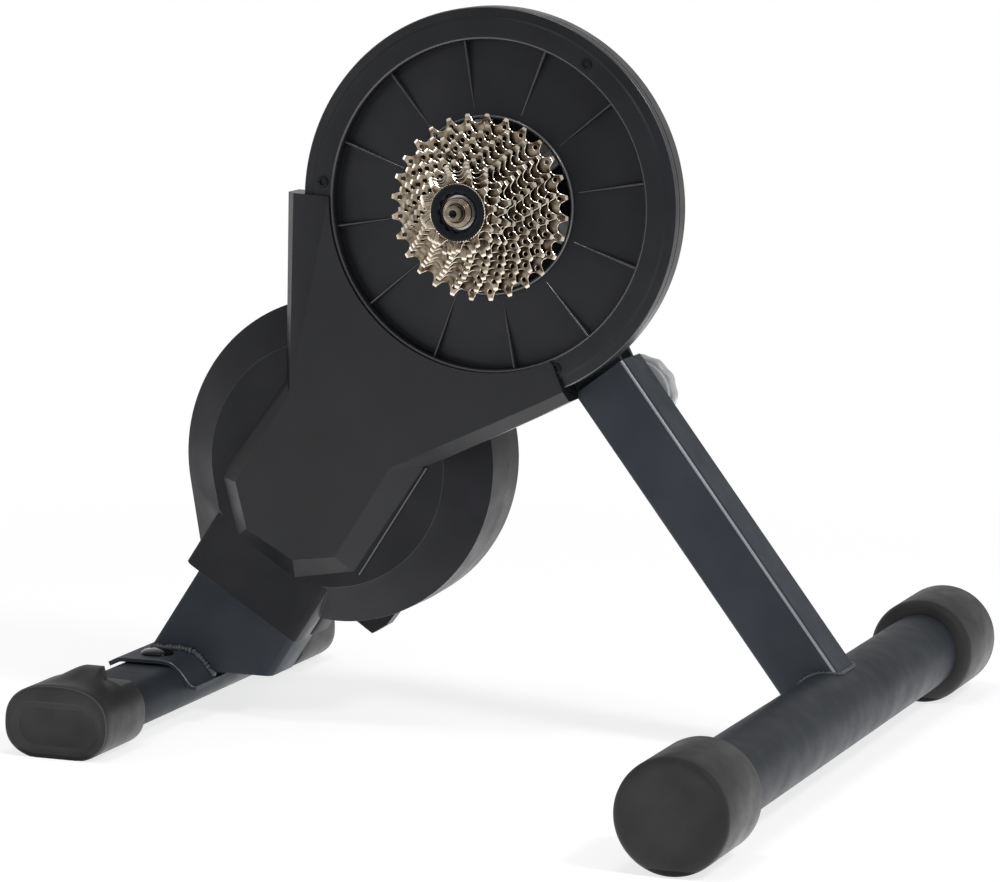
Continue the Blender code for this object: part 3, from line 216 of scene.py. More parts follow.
def object_coords(tree, stretch=None):
    source = tree.nodes.new("ShaderNodeTexCoord").outputs["Object"]
    if stretch is None:
        return source
    mapping = node(tree, "ShaderNodeMapping", Scale=stretch)
    tree.links.new(source, mapping.inputs["Vector"])
    return mapping.outputs["Vector"]


def noise(tree, size, detail=2.0, stretch=None):
    """Noise with features of about a size in metres."""
    made = node(tree, "ShaderNodeTexNoise", Scale=1.0 / size, Detail=detail)
    tree.links.new(object_coords(tree, stretch), made.inputs["Vector"])
    return made.outputs["Fac"]


def spread(tree, value, low, high, start=0.3, end=0.7):
    """Value mapped from start..end to low..high."""
    made = node(tree, "ShaderNodeMapRange")
    for name, number in (("From Min", start), ("From Max", end), ("To Min", low), ("To Max", high)):
        made.inputs[name].default_value = number
    tree.links.new(value, made.inputs["Value"])
    return made.outputs["Result"]


def tones(tree, value, first, second, start=0.3, end=0.7):
    ramp = tree.nodes.new("ShaderNodeValToRGB")
    ramp.color_ramp.elements[0].position = start
    ramp.color_ramp.elements[1].position = end
    ramp.color_ramp.elements[0].color = (*first, 1.0)
    ramp.color_ramp.elements[1].color = (*second, 1.0)
    tree.links.new(value, ramp.inputs["Fac"])
    return ramp.outputs["Color"]


def bump(tree, height, depth, strength=1.0, after=None):
    made = node(tree, "ShaderNodeBump", Strength=strength, Distance=depth)
    tree.links.new(height, made.inputs["Height"])
    if after is not None:
        tree.links.new(after, made.inputs["Normal"])
    return made.outputs["Normal"]


def surface(name, metallic=0.0, **sockets):
    """Material with its own Principled shader, and that shader."""
    mat = bpy.data.materials.new(name)
    mat.use_nodes = True
    shader = mat.node_tree.nodes["Principled BSDF"]
    shader.inputs["Metallic"].default_value = metallic
    for socket, value in sockets.items():
        shader.inputs[socket.replace("_", " ")].default_value = value
    return mat, mat.node_tree, shader


def wire(tree, shader, colour=None, roughness=None, normal=None):
    for socket, value in (("Base Color", colour), ("Roughness", roughness), ("Normal", normal)):
        if value is not None:
            tree.links.new(value, shader.inputs[socket])


# Materials
def moulded_plastic(name, dark, light, rough=(0.44, 0.54), gloss=0.28):
    """Fine-grained moulding: a spark-eroded grain with a faint cloudy gloss."""
    mat, tree, shader = surface(name, Specular_IOR_Level=gloss)
    wire(tree, shader, tones(tree, noise(tree, 0.045, 3.0), dark, light),
         spread(tree, noise(tree, 0.02, 3.0), *rough),
         bump(tree, noise(tree, 0.0009, 2.0), 0.00004, 0.5))
    return mat


def powder_coat(name, dark, light, rough=(0.46, 0.56), gloss=0.05):
    """Satin paint on tube: orange peel and a faint cloudiness."""
    mat, tree, shader = surface(name, Specular_IOR_Level=gloss)
    wire(tree, shader, tones(tree, noise(tree, 0.05, 3.0), dark, light),
         spread(tree, noise(tree, 0.015, 3.0), *rough),
         bump(tree, noise(tree, 0.0022, 1.0), 0.00005, 0.3))
    return mat


def moulded_rubber(name):
    mat, tree, shader = surface(name, Specular_IOR_Level=0.1)
    wire(tree, shader,
         tones(tree, noise(tree, 0.03, 3.0), (0.019, 0.0185, 0.0185), (0.031, 0.030, 0.030)),
         spread(tree, noise(tree, 0.012, 3.0), 0.44, 0.56),
         bump(tree, noise(tree, 0.0012, 2.0), 0.00006, 0.5))
    return mat


def turned_metal(name, dark, light, rough=(0.22, 0.34), metallic=1.0, gloss=0.5):
    """Lathe-turned metal: fine rings about the Y direction of its own hub."""
    mat, tree, shader = surface(name, metallic, Specular_IOR_Level=gloss)
    grooves = node(tree, "ShaderNodeTexNoise", Scale=1400.0, Detail=1.0)
    tree.links.new(object_coords(tree, (0.12, 1.0, 0.12)), grooves.inputs["Vector"])
    wire(tree, shader, tones(tree, noise(tree, 0.012, 3.0), dark, light),
         spread(tree, noise(tree, 0.004, 2.0), *rough),
         bump(tree, grooves.outputs["Fac"], 0.00001, 0.5))
    return mat


def shade_in_gaps(tree, colour, reach=0.005):
    """Colour darkened where the shape closes in, as painted shade in the gaps."""
    shade = node(tree, "ShaderNodeAmbientOcclusion", Distance=reach)
    shade.samples = 8
    # painted shade: brown-black where ambient occlusion finds the shape closing in
    gap_shade = tones(tree, shade.outputs["AO"], (0.06, 0.043, 0.030), (1.0, 1.0, 1.0), 0.35, 0.92)
    dark = node(tree, "ShaderNodeMix")
    dark.data_type = 'RGBA'
    dark.blend_type = 'MULTIPLY'
    dark.inputs[0].default_value = 1.0
    tree.links.new(colour, dark.inputs[6])
    tree.links.new(gap_shade, dark.inputs[7])
    return dark.outputs[2]


def stamped_nickel(name):
    """Nickel-plated sheet: blotchy tan and brown, with painted shade darkening it towards the bike's front and in
    its gaps.
    """
    mat, tree, shader = surface(name, 1.0)
    place = tree.nodes.new("ShaderNodeSeparateXYZ")
    tree.links.new(object_coords(tree), place.inputs[0])
    tarnish_and_side_shade = node(tree, "ShaderNodeMath")
    tarnish_and_side_shade.operation = 'ADD'
    tree.links.new(noise(tree, 0.006, 4.0), tarnish_and_side_shade.inputs[0])
    # painted shade: darker towards +X, the bike's front
    tree.links.new(spread(tree, place.outputs["X"], 0.07, -0.10, -0.05, 0.05), tarnish_and_side_shade.inputs[1])
    plating = tones(tree, tarnish_and_side_shade.outputs[0], (0.045, 0.026, 0.015), (0.33, 0.272, 0.205),
                    0.34, 0.66)
    # painted shade in the gaps between sprockets
    wire(tree, shader, shade_in_gaps(tree, plating), spread(tree, noise(tree, 0.003, 2.0), 0.24, 0.40),
         bump(tree, noise(tree, 0.0016, 2.0), 0.0001, 0.45))
    return mat


def woven_copper(name):
    """Lacquered winding: round strands side by side."""
    mat, tree, shader = surface(name, 1.0)
    strands = node(tree, "ShaderNodeTexWave", Scale=260.0, Distortion=0.4, Detail=1.0)
    strands.bands_direction = 'Y'
    tree.links.new(object_coords(tree), strands.inputs["Vector"])
    wire(tree, shader, tones(tree, strands.outputs["Fac"], (0.25, 0.09, 0.035), (0.75, 0.36, 0.17)),
         spread(tree, noise(tree, 0.004), 0.28, 0.42),
         bump(tree, strands.outputs["Fac"], 0.0004, 0.7))
    return mat


def solder_mask(name):
    """Circuit board: green lacquer with paler tracks."""
    mat, tree, shader = surface(name)
    tracks = node(tree, "ShaderNodeTexBrick", Scale=160.0, Mortar_Size=0.02)
    for socket, colour in (("Color1", (0.012, 0.10, 0.035)), ("Color2", (0.016, 0.13, 0.045)),
                           ("Mortar", (0.05, 0.24, 0.09))):
        tracks.inputs[socket].default_value = (*colour, 1.0)
    tree.links.new(object_coords(tree), tracks.inputs["Vector"])
    wire(tree, shader, tracks.outputs["Color"], spread(tree, noise(tree, 0.01), 0.25, 0.4))
    return mat


MATERIALS = {
    "cover_plastic": moulded_plastic("black_moulded_plastic", (0.0048, 0.0052, 0.0068),
                                     (0.0098, 0.0104, 0.0130), (0.36, 0.46), gloss=0.17),
    "frame_paint": powder_coat("satin_powder_coat", (0.027, 0.0315, 0.0385),
                               (0.039, 0.0445, 0.0525)),
    "cap_rubber": moulded_rubber("moulded_rubber"),
    "cassette_nickel": stamped_nickel("nickel_plate"),
    "bright_steel": turned_metal("bright_steel", (0.40, 0.39, 0.37), (0.62, 0.61, 0.58)),
    "black_steel": turned_metal("black_steel", (0.0032, 0.0040, 0.0060),
                                (0.0062, 0.0074, 0.0105), (0.24, 0.34), metallic=0.0, gloss=0.1),
    "cast_alloy": turned_metal("cast_alloy", (0.50, 0.50, 0.51), (0.62, 0.62, 0.63), (0.34, 0.48)),
    "machined_iron": turned_metal("machined_iron", (0.24, 0.24, 0.25), (0.36, 0.36, 0.37),
                                  (0.30, 0.46)),
    "belt_rubber": moulded_plastic("belt_rubber", (0.014, 0.014, 0.014), (0.022, 0.022, 0.022),
                                   (0.6, 0.75)),
    "copper_wire": woven_copper("copper_winding"),
    "circuit_board": solder_mask("circuit_board"),
    "grey_plastic": moulded_plastic("grey_plastic", (0.085, 0.085, 0.085), (0.12, 0.12, 0.12)),
}

# Second materials: painted highlight on edges and rims, painted light on recess walls, painted shade on the foot
# tubes, and single parts that differ from their slot
# bright nickel: the lock ring's rim, and painted highlight on sprocket edges and tips
BRIGHT_NICKEL_AND_HIGHLIGHT = turned_metal("polished_nickel_and_painted_highlight", (0.34, 0.30, 0.245), (0.60, 0.55, 0.47), (0.12, 0.2))
SHEEN_PLASTIC = moulded_plastic("black_satin_plastic", (0.0018, 0.0020, 0.0030),
                                (0.0044, 0.0047, 0.0064), (0.36, 0.46), gloss=0.24)
DRUM_PLASTIC = moulded_plastic("black_drum_plastic", (0.0105, 0.0108, 0.0128),
                               (0.0170, 0.0174, 0.0205), (0.42, 0.52), gloss=0.08)
# painted highlight: a lighter black on the rolled lip round the hub's hole
LIP_BLACK_HIGHLIGHT = moulded_plastic("rolled_lip_painted_highlight", (0.050, 0.050, 0.053), (0.072, 0.072, 0.076),
                            (0.16, 0.22), gloss=0.9)
GLOSS_BLACK = moulded_plastic("gloss_black_ring", (0.020, 0.020, 0.022), (0.028, 0.028, 0.030),
                              (0.20, 0.26), gloss=0.6)
RIB_BLACK = moulded_plastic("glossy_black_rib", (0.009, 0.0094, 0.0105), (0.015, 0.0155, 0.017),
                            (0.16, 0.22), gloss=0.42)
# painted highlight: a lighter black on the rounded edges of the covers and shells
EDGE_HIGHLIGHT_BLACK = moulded_plastic("black_edge_painted_highlight", (0.034, 0.034, 0.038), (0.056, 0.056, 0.060),
                             (0.24, 0.30), gloss=0.45)
# painted light: a lighter rubber on the walls of the rear caps' recess
RUBBER_WALL_LIT = moulded_plastic("rubber_wall_painted_light", (0.026, 0.0255, 0.0255), (0.040, 0.039, 0.039),
                              (0.46, 0.56), gloss=0.12)
# painted highlight: a lighter rubber on the slanted rim of the rear caps' ends
RUBBER_EDGE_HIGHLIGHT = moulded_plastic("rubber_edge_painted_highlight", (0.040, 0.039, 0.039), (0.066, 0.065, 0.065),
                              (0.45, 0.55), gloss=0.2)
TURNED_NICKEL = turned_metal("turned_nickel", (0.10, 0.082, 0.062), (0.21, 0.178, 0.138),
                             (0.16, 0.26))
POLISHED_BLACK = turned_metal("polished_black_steel", (0.004, 0.004, 0.005), (0.008, 0.008, 0.010),
                              (0.08, 0.12), metallic=0.0, gloss=0.1)
# painted highlight: a lighter paint on the saddle's upward edges
PAINT_EDGE_HIGHLIGHT = powder_coat("coat_painted_highlight", (0.045, 0.050, 0.056), (0.060, 0.066, 0.074),
                         (0.26, 0.34), 0.5)
# painted shade: a darker copy of the frame paint, for the foot tubes
FOOT_PAINT_SHADED = powder_coat("foot_powder_coat_painted_shade", (0.0185, 0.0215, 0.0262), (0.0262, 0.030, 0.0352))
# painted highlight: a pale paint on the strut's near right corner
STRUT_EDGE_HIGHLIGHT = powder_coat("strut_edge_painted_highlight", (0.13, 0.14, 0.158), (0.19, 0.20, 0.22),
                         (0.26, 0.34), 0.5)
WELD_COAT = powder_coat("weld_coat", (0.044, 0.047, 0.052), (0.070, 0.074, 0.080),
                        (0.34, 0.44), 0.3)
KNOB_GREY = moulded_plastic("grey_clamp_metal", (0.36, 0.365, 0.375), (0.46, 0.465, 0.475),
                            (0.34, 0.44), gloss=0.6)
FINISHES = {"belt_cover": SHEEN_PLASTIC, "belt_case": SHEEN_PLASTIC,
            "drum_front_shell": DRUM_PLASTIC, "drum_back_shell": DRUM_PLASTIC}


def dress_cad_nodes():
    """Give every solid the material of its slot, but the hub's axle turned nickel."""
    for name, obj in NODES.items():
        obj.data.materials.clear()
        obj.data.materials.append(TURNED_NICKEL if name == "hub_axle" else MATERIALS[SLOTS[name]])


# Shape helpers
def rounded(outline, size, steps=3):
    """Closed outline with each corner turned into a small curve."""
    result = []
    count = len(outline)
    for i, point in enumerate(outline):
        corner = Vector(point)
        before = Vector(outline[i - 1]) - corner
        after = Vector(outline[(i + 1) % count]) - corner
        reach = min(size, 0.45 * before.length, 0.45 * after.length)
        start = corner + before.normalized() * reach
        end = corner + after.normalized() * reach
        for k in range(steps + 1):
            t = k / steps
            result.append(tuple(start * (1 - t) ** 2 + corner * (2 * t * (1 - t)) + end * t * t))
    return result


def skin(bm, rings, closed=False):
    """Faces between rings of points in millimetres; open ends are capped."""
    rows = [[bm.verts.new(Vector(point) * MM) for point in ring] for ring in rings]
    made = []
    pairs = list(zip(rows, rows[1:]))
    if closed:
        pairs.append((rows[-1], rows[0]))
    else:
        made.append(bm.faces.new(rows[0]))
        made.append(bm.faces.new(list(reversed(rows[-1]))))
    for first, second in pairs:
        for i, vert in enumerate(first):
            j = (i + 1) % len(first)
            made.append(bm.faces.new((vert, second[i], second[j], first[j])))
    return made


def ring_points(radius, y, centre, steps, lobes=0, depth=0.0):
    """Circle in the XZ plane, with optional shallow lobes."""
    points = []
    for i in range(steps):
        angle = 2 * math.pi * i / steps
        reach = radius - depth * (0.5 - 0.5 * math.cos(lobes * angle))
        points.append((centre.x + reach * math.cos(angle), y, centre.z + reach * math.sin(angle)))
    return points


def lathe(bm, profile, centre, steps=96, closed=True, lobes=0, depth=0.0):
    """Profile of (radius, y) turned about a Y axis; an open one is capped at both ends."""
    return skin(bm, [ring_points(r, y, centre, steps, lobes, depth) for r, y in profile], closed)


def piece(name, bm, material, body, nodes=(), sharp=34.0):
    """Object on a body that takes the place of some solids."""
    bmesh.ops.remove_doubles(bm, verts=bm.verts, dist=0.000002)
    bmesh.ops.recalc_face_normals(bm, faces=bm.faces)
    mesh = bpy.data.meshes.new(name)
    bm.to_mesh(mesh)
    bm.free()
    mesh.materials.append(material)
    mesh.shade_smooth()
    mesh.set_sharp_from_angle(angle=math.radians(sharp))
    obj = bpy.data.objects.new(name, mesh)
    bpy.context.scene.collection.objects.link(obj)
    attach(obj, body)
    if nodes:
        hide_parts(*nodes)
    return obj


def smooth_arcs(bm, centre, least=70.0, cuts=3):
    """Finer steps on the round outlines about a Y axis, beyond a least radius."""
    arcs = {}
    for edge in bm.edges:
        first, second = (vert.co / MM - centre for vert in edge.verts)
        near = math.hypot(first.x, first.z)
        far = math.hypot(second.x, second.z)
        if near > least and abs(near - far) < 0.05 and abs(first.y - second.y) < 0.02:
            if 2.0 < (first - second).length < near * 0.25:
                arcs[edge] = (near + far) / 2
    radii = list(arcs.values())
    old = {vert for edge in arcs for vert in edge.verts}
    made = bmesh.ops.subdivide_edges(bm, edges=list(arcs), cuts=cuts, use_grid_fill=True)
    new = {item for item in made["geom_inner"] if isinstance(item, bmesh.types.BMVert)} - old
    for vert in new:
        place = vert.co / MM - centre
        reach = math.hypot(place.x, place.z)
        match = min(radii, key=lambda radius: abs(radius - reach))
        if abs(match - reach) < 0.6:
            share = match / reach
            vert.co = (centre + Vector((place.x * share, place.y, place.z * share))) * MM


def refined(name, width):
    """Copy of a solid with its sharp edges rounded by a width."""
    source = NODES[name]
    bm = bmesh.new()
    bm.from_mesh(source.data)
    bm.transform(source.matrix_world)
    bmesh.ops.remove_doubles(bm, verts=bm.verts, dist=0.03 * MM)
    bmesh.ops.dissolve_limit(bm, angle_limit=math.radians(1.2), verts=bm.verts, edges=bm.edges)
    if name in ROUND_SHELLS:
        for centre in (HUB, FLY):
            smooth_arcs(bm, Vector((centre.x, 0.0, centre.z)))
    material = FINISHES.get(name, MATERIALS[SLOTS[name]])
    obj = piece("round_" + name, bm, material, BODIES[name], (name,))
    bevel = obj.modifiers.new("edges", 'BEVEL')
    bevel.width = width * MM
    bevel.segments = 2
    bevel.limit_method = 'ANGLE'
    bevel.angle_limit = math.radians(30.0)
    bevel.use_clamp_overlap = True
    bevel.harden_normals = True
    # painted highlight: the bevels of the round shells take a lighter black
    if name in ROUND_SHELLS:
        obj.data.materials.append(EDGE_HIGHLIGHT_BLACK)
        bevel.material = 1
    return obj


def paint_faces(obj, material, chosen):
    """Give another material to the faces that a test picks out."""
    obj.data.materials.append(material)
    slot = len(obj.data.materials) - 1
    for face in obj.data.polygons:
        if chosen(face):
            face.material_index = slot


# Round housing
def cone_y(radius):
    """Front of the dished floor at a radius."""
    share = (radius - CONE_INNER) / (CONE_OUTER - CONE_INNER)
    return CONE_FRONT + share * (RECESS_FLOOR - CONE_FRONT)


def add_pulley_cover():
    """Dished cover with its ribs, the beads at its inner and outer edge, and its screws."""
    outer = HOUSING_RADIUS
    inner = outer - HOUSING_WALL
    profile = [(CONE_INNER + 0.2, CONE_FRONT), (CONE_OUTER, RECESS_FLOOR),
               (RECESS_RADIUS, FLANGE_FRONT + 0.6), (RECESS_RADIUS + 1.0, FLANGE_FRONT),
               (FLANGE_RADIUS, FLANGE_FRONT), (FLANGE_RADIUS + 0.8, FLANGE_FRONT + 1.4),
               (outer - 0.8, FLANGE_FRONT + 2.0), (outer, FLANGE_FRONT + 2.8),
               (outer, HOUSING_SPLIT - 0.6), (inner, HOUSING_SPLIT - 0.6),
               (inner, FLANGE_FRONT + 3.8), (RECESS_RADIUS + 2.6, FLANGE_FRONT + 3.8),
               (RECESS_RADIUS + 2.4, CONE_BACK), (RECESS_RADIUS + 0.4, CONE_BACK),
               (LIP_INNER, LIP_BACK), (LIP_INNER, CONE_FRONT)]
    bm = bmesh.new()
    lathe(bm, rounded(profile, 0.7), HUB, 144)
    cover = piece("dished_cover", bm, MATERIALS["cover_plastic"], "frame", ("pulley_cover",))

    def highlight_edge(face):
        place = face.center / MM - HUB
        return 0.25 < -face.normal.y < 0.9 and math.hypot(place.x, place.z) > outer - 1.4

    # painted highlight: the outer rim's slanted faces take a lighter black
    paint_faces(cover, EDGE_HIGHLIGHT_BLACK, highlight_edge)
    bm = bmesh.new()
    for index in range(RIB_COUNT):
        add_rib(bm, RIB_START + index * 2 * math.pi / RIB_COUNT)
    piece("dish_ribs", bm, RIB_BLACK, "frame", sharp=60.0)
    bm = bmesh.new()
    bead = [(RECESS_RADIUS - 0.25, FLANGE_FRONT + 2.2), (RECESS_RADIUS - 0.1, FLANGE_FRONT + 0.7),
            (RECESS_RADIUS + 0.5, FLANGE_FRONT + 0.1), (RECESS_RADIUS + 1.3, FLANGE_FRONT - 0.1),
            (RECESS_RADIUS + 1.6, FLANGE_FRONT + 0.6), (RECESS_RADIUS + 1.6, FLANGE_FRONT + 2.2)]
    lathe(bm, rounded(bead, 0.4), HUB, 180)
    piece("flange_bead", bm, GLOSS_BLACK, "frame")
    add_lip_ring()
    for index, degrees in enumerate(FLANGE_SCREWS):
        add_flange_screw("flange_screw_%d" % index, math.radians(degrees))


def add_rib(bm, angle):
    """Fin on the dished floor, thicker at its foot, that gets thinner towards the hub."""
    outward = Vector((math.cos(angle), 0.0, math.sin(angle)))
    aside = Vector((-math.sin(angle), 0.0, math.cos(angle)))
    outer = RECESS_RADIUS + 0.8
    steps = 6
    rings = []
    for i in range(steps + 1):
        share = i / steps
        radius = outer + (RIB_FOOT - outer) * share
        top = RIB_OUTER_FRONT + (RIB_INNER_FRONT - RIB_OUTER_FRONT) * share
        foot = min(cone_y(min(radius, CONE_OUTER)) + 1.0, 0.0)
        half = 1.7 - 0.9 * share
        waist = (foot + top) / 2
        section = ((-half, foot), (-half * 0.72, waist), (-half * 0.4, top + 0.25), (0.0, top),
                   (half * 0.4, top + 0.25), (half * 0.72, waist), (half, foot))
        rings.append([HUB + outward * radius + aside * side + Vector((0.0, y - HUB.y, 0.0))
                      for side, y in section])
    skin(bm, rings)


def add_lip_ring():
    """Rolled ring round the hub's hole, with a step down to the hole's edge."""
    bm = bmesh.new()
    profile = [(LIP_INNER + 0.1, LIP_BACK + 0.3), (LIP_INNER + 0.1, CONE_FRONT + 0.9),
               (LIP_INNER + 0.9, CONE_FRONT + 0.3), (LIP_INNER + 1.0, LIP_FRONT + 0.9),
               (LIP_INNER + 1.9, LIP_FRONT), (LIP_OUTER - 0.2, LIP_FRONT + 0.7),
               (LIP_OUTER, CONE_FRONT + 1.0), (LIP_OUTER, LIP_BACK + 0.3)]
    lathe(bm, rounded(profile, 0.5), HUB, 180)
    # painted highlight: the lip takes a lighter black
    piece("hub_lip", bm, LIP_BLACK_HIGHLIGHT, "frame")


def add_flange_screw(name, angle):
    """Low cap screw with a round socket, sunk in the flange."""
    front = FLANGE_FRONT
    radius = FLANGE_SCREW_RADIUS
    place = Vector((HUB.x + FLANGE_SCREW_REACH * math.cos(angle), 0.0,
                    HUB.z + FLANGE_SCREW_REACH * math.sin(angle)))
    bm = bmesh.new()
    profile = rounded([(radius - 0.5, front + 2.5), (radius, front + 2.5), (radius, front - 0.9),
                       (radius - 0.9, front - 1.3), (radius * 0.5, front - 1.3),
                       (radius * 0.5, front + 0.8)], 0.35)
    lathe(bm, profile, place, 24)
    skin(bm, [ring_points(radius * 0.56, front + y, place, 24) for y in (0.5, 0.9)])
    piece(name, bm, MATERIALS["black_steel"], "frame")


# Cassette
def pitch_radius(teeth):
    return CHAIN_PITCH / (2 * math.sin(math.pi / teeth))


def sprocket_outline(teeth, turn):
    """Roller seats between teeth that stop where the bevelled tips start."""
    radius = pitch_radius(teeth)
    points = []
    for i in range(teeth):
        middle = turn + 2 * math.pi * (i + 0.5) / teeth
        for k in range(SEAT_STEPS + 1):
            swing = -SEAT_ANGLE + 2 * SEAT_ANGLE * k / SEAT_STEPS
            out = radius - ROLLER_RADIUS * math.cos(swing)
            aside = ROLLER_RADIUS * math.sin(swing)
            points.append((out * math.cos(middle) - aside * math.sin(middle),
                           out * math.sin(middle) + aside * math.cos(middle)))
        tip = turn + 2 * math.pi * (i + 1) / teeth
        reach = radius + TIP_START
        for aside in (-TIP_HALF, TIP_HALF):
            points.append((reach * math.cos(tip) - aside * math.sin(tip),
                           reach * math.sin(tip) + aside * math.cos(tip)))
    return points


def add_spline(curve, points):
    spline = curve.splines.new('POLY')
    spline.points.add(len(points) - 1)
    for target, (x, y) in zip(spline.points, points):
        target.co = (x * MM, y * MM, 0.0, 1.0)
    spline.use_cyclic_u = True


def sheet(outlines, thickness, bevel):
    """Flat sheet with holes and bevelled edges, in the XZ plane about the origin."""
    curve = bpy.data.curves.new("sheet", 'CURVE')
    curve.dimensions = '2D'
    curve.fill_mode = 'BOTH'
    curve.extrude = (thickness / 2 - bevel) * MM
    curve.bevel_depth = bevel * MM
    curve.offset = -bevel * MM
    curve.bevel_resolution = 0
    for outline in outlines:
        add_spline(curve, outline)
    holder = bpy.data.objects.new("sheet", curve)
    bpy.context.scene.collection.objects.link(holder)
    bpy.context.view_layer.update()
    graph = bpy.context.evaluated_depsgraph_get()
    mesh = bpy.data.meshes.new_from_object(holder.evaluated_get(graph))
    bpy.data.objects.remove(holder)
    bm = bmesh.new()
    bm.from_mesh(mesh)
    bpy.data.meshes.remove(mesh)
    bm.transform(Matrix.Rotation(math.pi / 2, 4, 'X'))
    return bm


def circle(radius, steps, x=0.0, y=0.0):
    turns = [2 * math.pi * i / steps for i in range(steps)]
    return [(x + radius * math.cos(turn), y + radius * math.sin(turn)) for turn in turns]


def add_tooth_tip(bm, teeth, angle):
    """Tip of a tooth, thinned and narrowed as a wedge."""
    radius = pitch_radius(teeth)
    outward = Vector((math.cos(angle), 0.0, math.sin(angle)))
    aside = Vector((-math.sin(angle), 0.0, math.cos(angle)))
    root = SPROCKET_THICKNESS / 2 - 0.1
    rings = []
    for reach, half, thick in ((TIP_START - 0.6, TIP_HALF + 0.1, root), (TIP_START, TIP_HALF, root),
                               (TOOTH_RISE - 0.3, 1.35, 0.5), (TOOTH_RISE, 1.15, 0.4)):
        corners = ((-half, -thick), (half, -thick), (half, thick), (-half, thick))
        rings.append([outward * (radius + reach) + aside * side + Vector((0.0, y, 0.0))
                      for side, y in corners])
    skin(bm, rings)


def add_sprocket(teeth, degrees):
    """Toothed sheet with relief holes; all but the largest carry the spacer behind them."""
    name = "sprocket_%02dt" % teeth
    turn = math.radians(degrees)
    low, high = node_box(name)
    outlines = [sprocket_outline(teeth, turn), circle(SPROCKET_BORE, 36)]
    if teeth >= TOOTH_HOLES_FROM:
        reach = pitch_radius(teeth) - TOOTH_HOLE_DROP
        for i in range(teeth):
            angle = turn + 2 * math.pi * i / teeth
            outlines.append(circle(TOOTH_HOLE_RADIUS, 12, reach * math.cos(angle),
                                   reach * math.sin(angle)))
    bm = sheet(outlines, SPROCKET_THICKNESS, SPROCKET_EDGE)
    for i in range(teeth):
        add_tooth_tip(bm, teeth, turn + 2 * math.pi * i / teeth)
    if teeth != SPROCKETS[0][0]:
        end = high[1] - low[1] - 1.1
        lathe(bm, [(SPACER_INNER, 0.6), (SPACER_OUTER, 0.6), (SPACER_OUTER, end),
                   (SPACER_INNER, end)], Vector((0.0, 0.0, 0.0)), 36)
    place = Vector((HUB.x, low[1] + SPROCKET_THICKNESS / 2, HUB.z))
    bm.transform(Matrix.Translation(place * MM))
    made = piece("cut_" + name, bm, MATERIALS["cassette_nickel"], "cassette", (name,), sharp=20.0)
    # painted highlight: bevelled edges and tooth tips take the bright nickel
    bright_from = pitch_radius(teeth) + TIP_START + 0.5

    def bright(face):
        place = face.center / MM - HUB
        return 0.2 < abs(face.normal.y) < 0.97 or math.hypot(place.x, place.z) > bright_from

    paint_faces(made, BRIGHT_NICKEL_AND_HIGHLIGHT, bright)


def add_lock_ring():
    """Blue-black ring, notched inside for its tool, with a bright toothed rim."""
    low, high = node_box("lock_ring")
    front = low[1]
    back = high[1]
    shape = ((17.4, back - 0.2, 0.0), (17.4, front + 1.0, 0.0), (17.1, front + 0.45, 0.0),
             (16.5, front + 0.3, 0.0), (14.9, front + 0.5, 0.0), (13.3, front + 0.35, 0.0),
             (12.9, front + 0.5, 0.0), (12.7, front + 1.1, 1.1), (12.7, back - 0.9, 1.1),
             (10.9, back - 0.9, 0.0), (10.9, back - 0.2, 0.0))
    bm = bmesh.new()
    skin(bm, [ring_points(r, y, HUB, 144, 12, depth) for r, y, depth in shape], closed=True)
    piece("lock_ring_face", bm, MATERIALS["black_steel"], "cassette", ("lock_ring",))
    bm = bmesh.new()
    rim = [(17.1, front + 1.4), (18.1, front + 0.6), (18.4, front + 1.0), (18.4, back),
           (17.1, back)]
    lathe(bm, rim, HUB, 240, lobes=60, depth=0.45)
    piece("lock_ring_rim", bm, BRIGHT_NICKEL_AND_HIGHLIGHT, "cassette")


def add_axle_nut():
    """Domed locknut with turned steps, and the hollow stub through it with a dark disc in its bore as painted
    shade.
    """
    low, high = node_box("axle_nut_drive")
    front = low[1]
    back = high[1]
    bm = bmesh.new()
    profile = [(5.3, front + 0.9), (5.9, front + 0.2), (6.5, front), (6.9, front + 0.15),
               (7.1, front + 0.6), (7.9, front + 0.7), (8.2, front + 1.2), (8.9, front + 1.35),
               (9.5, front + 2.2), (9.5, back), (5.3, back)]
    lathe(bm, rounded(profile, 0.18), HUB, 90)
    piece("drive_locknut", bm, TURNED_NICKEL, "frame", ("axle_nut_drive",))
    axle_end = node_box("hub_axle")[0][1]
    tip = axle_end - 0.2
    bm = bmesh.new()
    stub = [(2.3, front + 3.0), (2.3, tip + 0.8), (2.9, tip), (3.5, tip), (3.7, tip + 0.15),
            (4.6, tip + 0.15), (5.05, tip + 0.7), (5.05, front + 3.0)]
    lathe(bm, rounded(stub, 0.25), HUB, 64)
    piece("dropout_stub", bm, TURNED_NICKEL, "frame")
    # painted shade: a dark disc in the stub's bore
    bm = bmesh.new()
    bore_shade = [(0.6, axle_end + 2.6), (1.6, axle_end + 1.9), (2.45, axle_end + 1.5),
            (2.45, axle_end + 4.0)]
    lathe(bm, bore_shade, HUB, 40, closed=False)
    piece("stub_bore_shade", bm, MATERIALS["black_steel"], "frame")


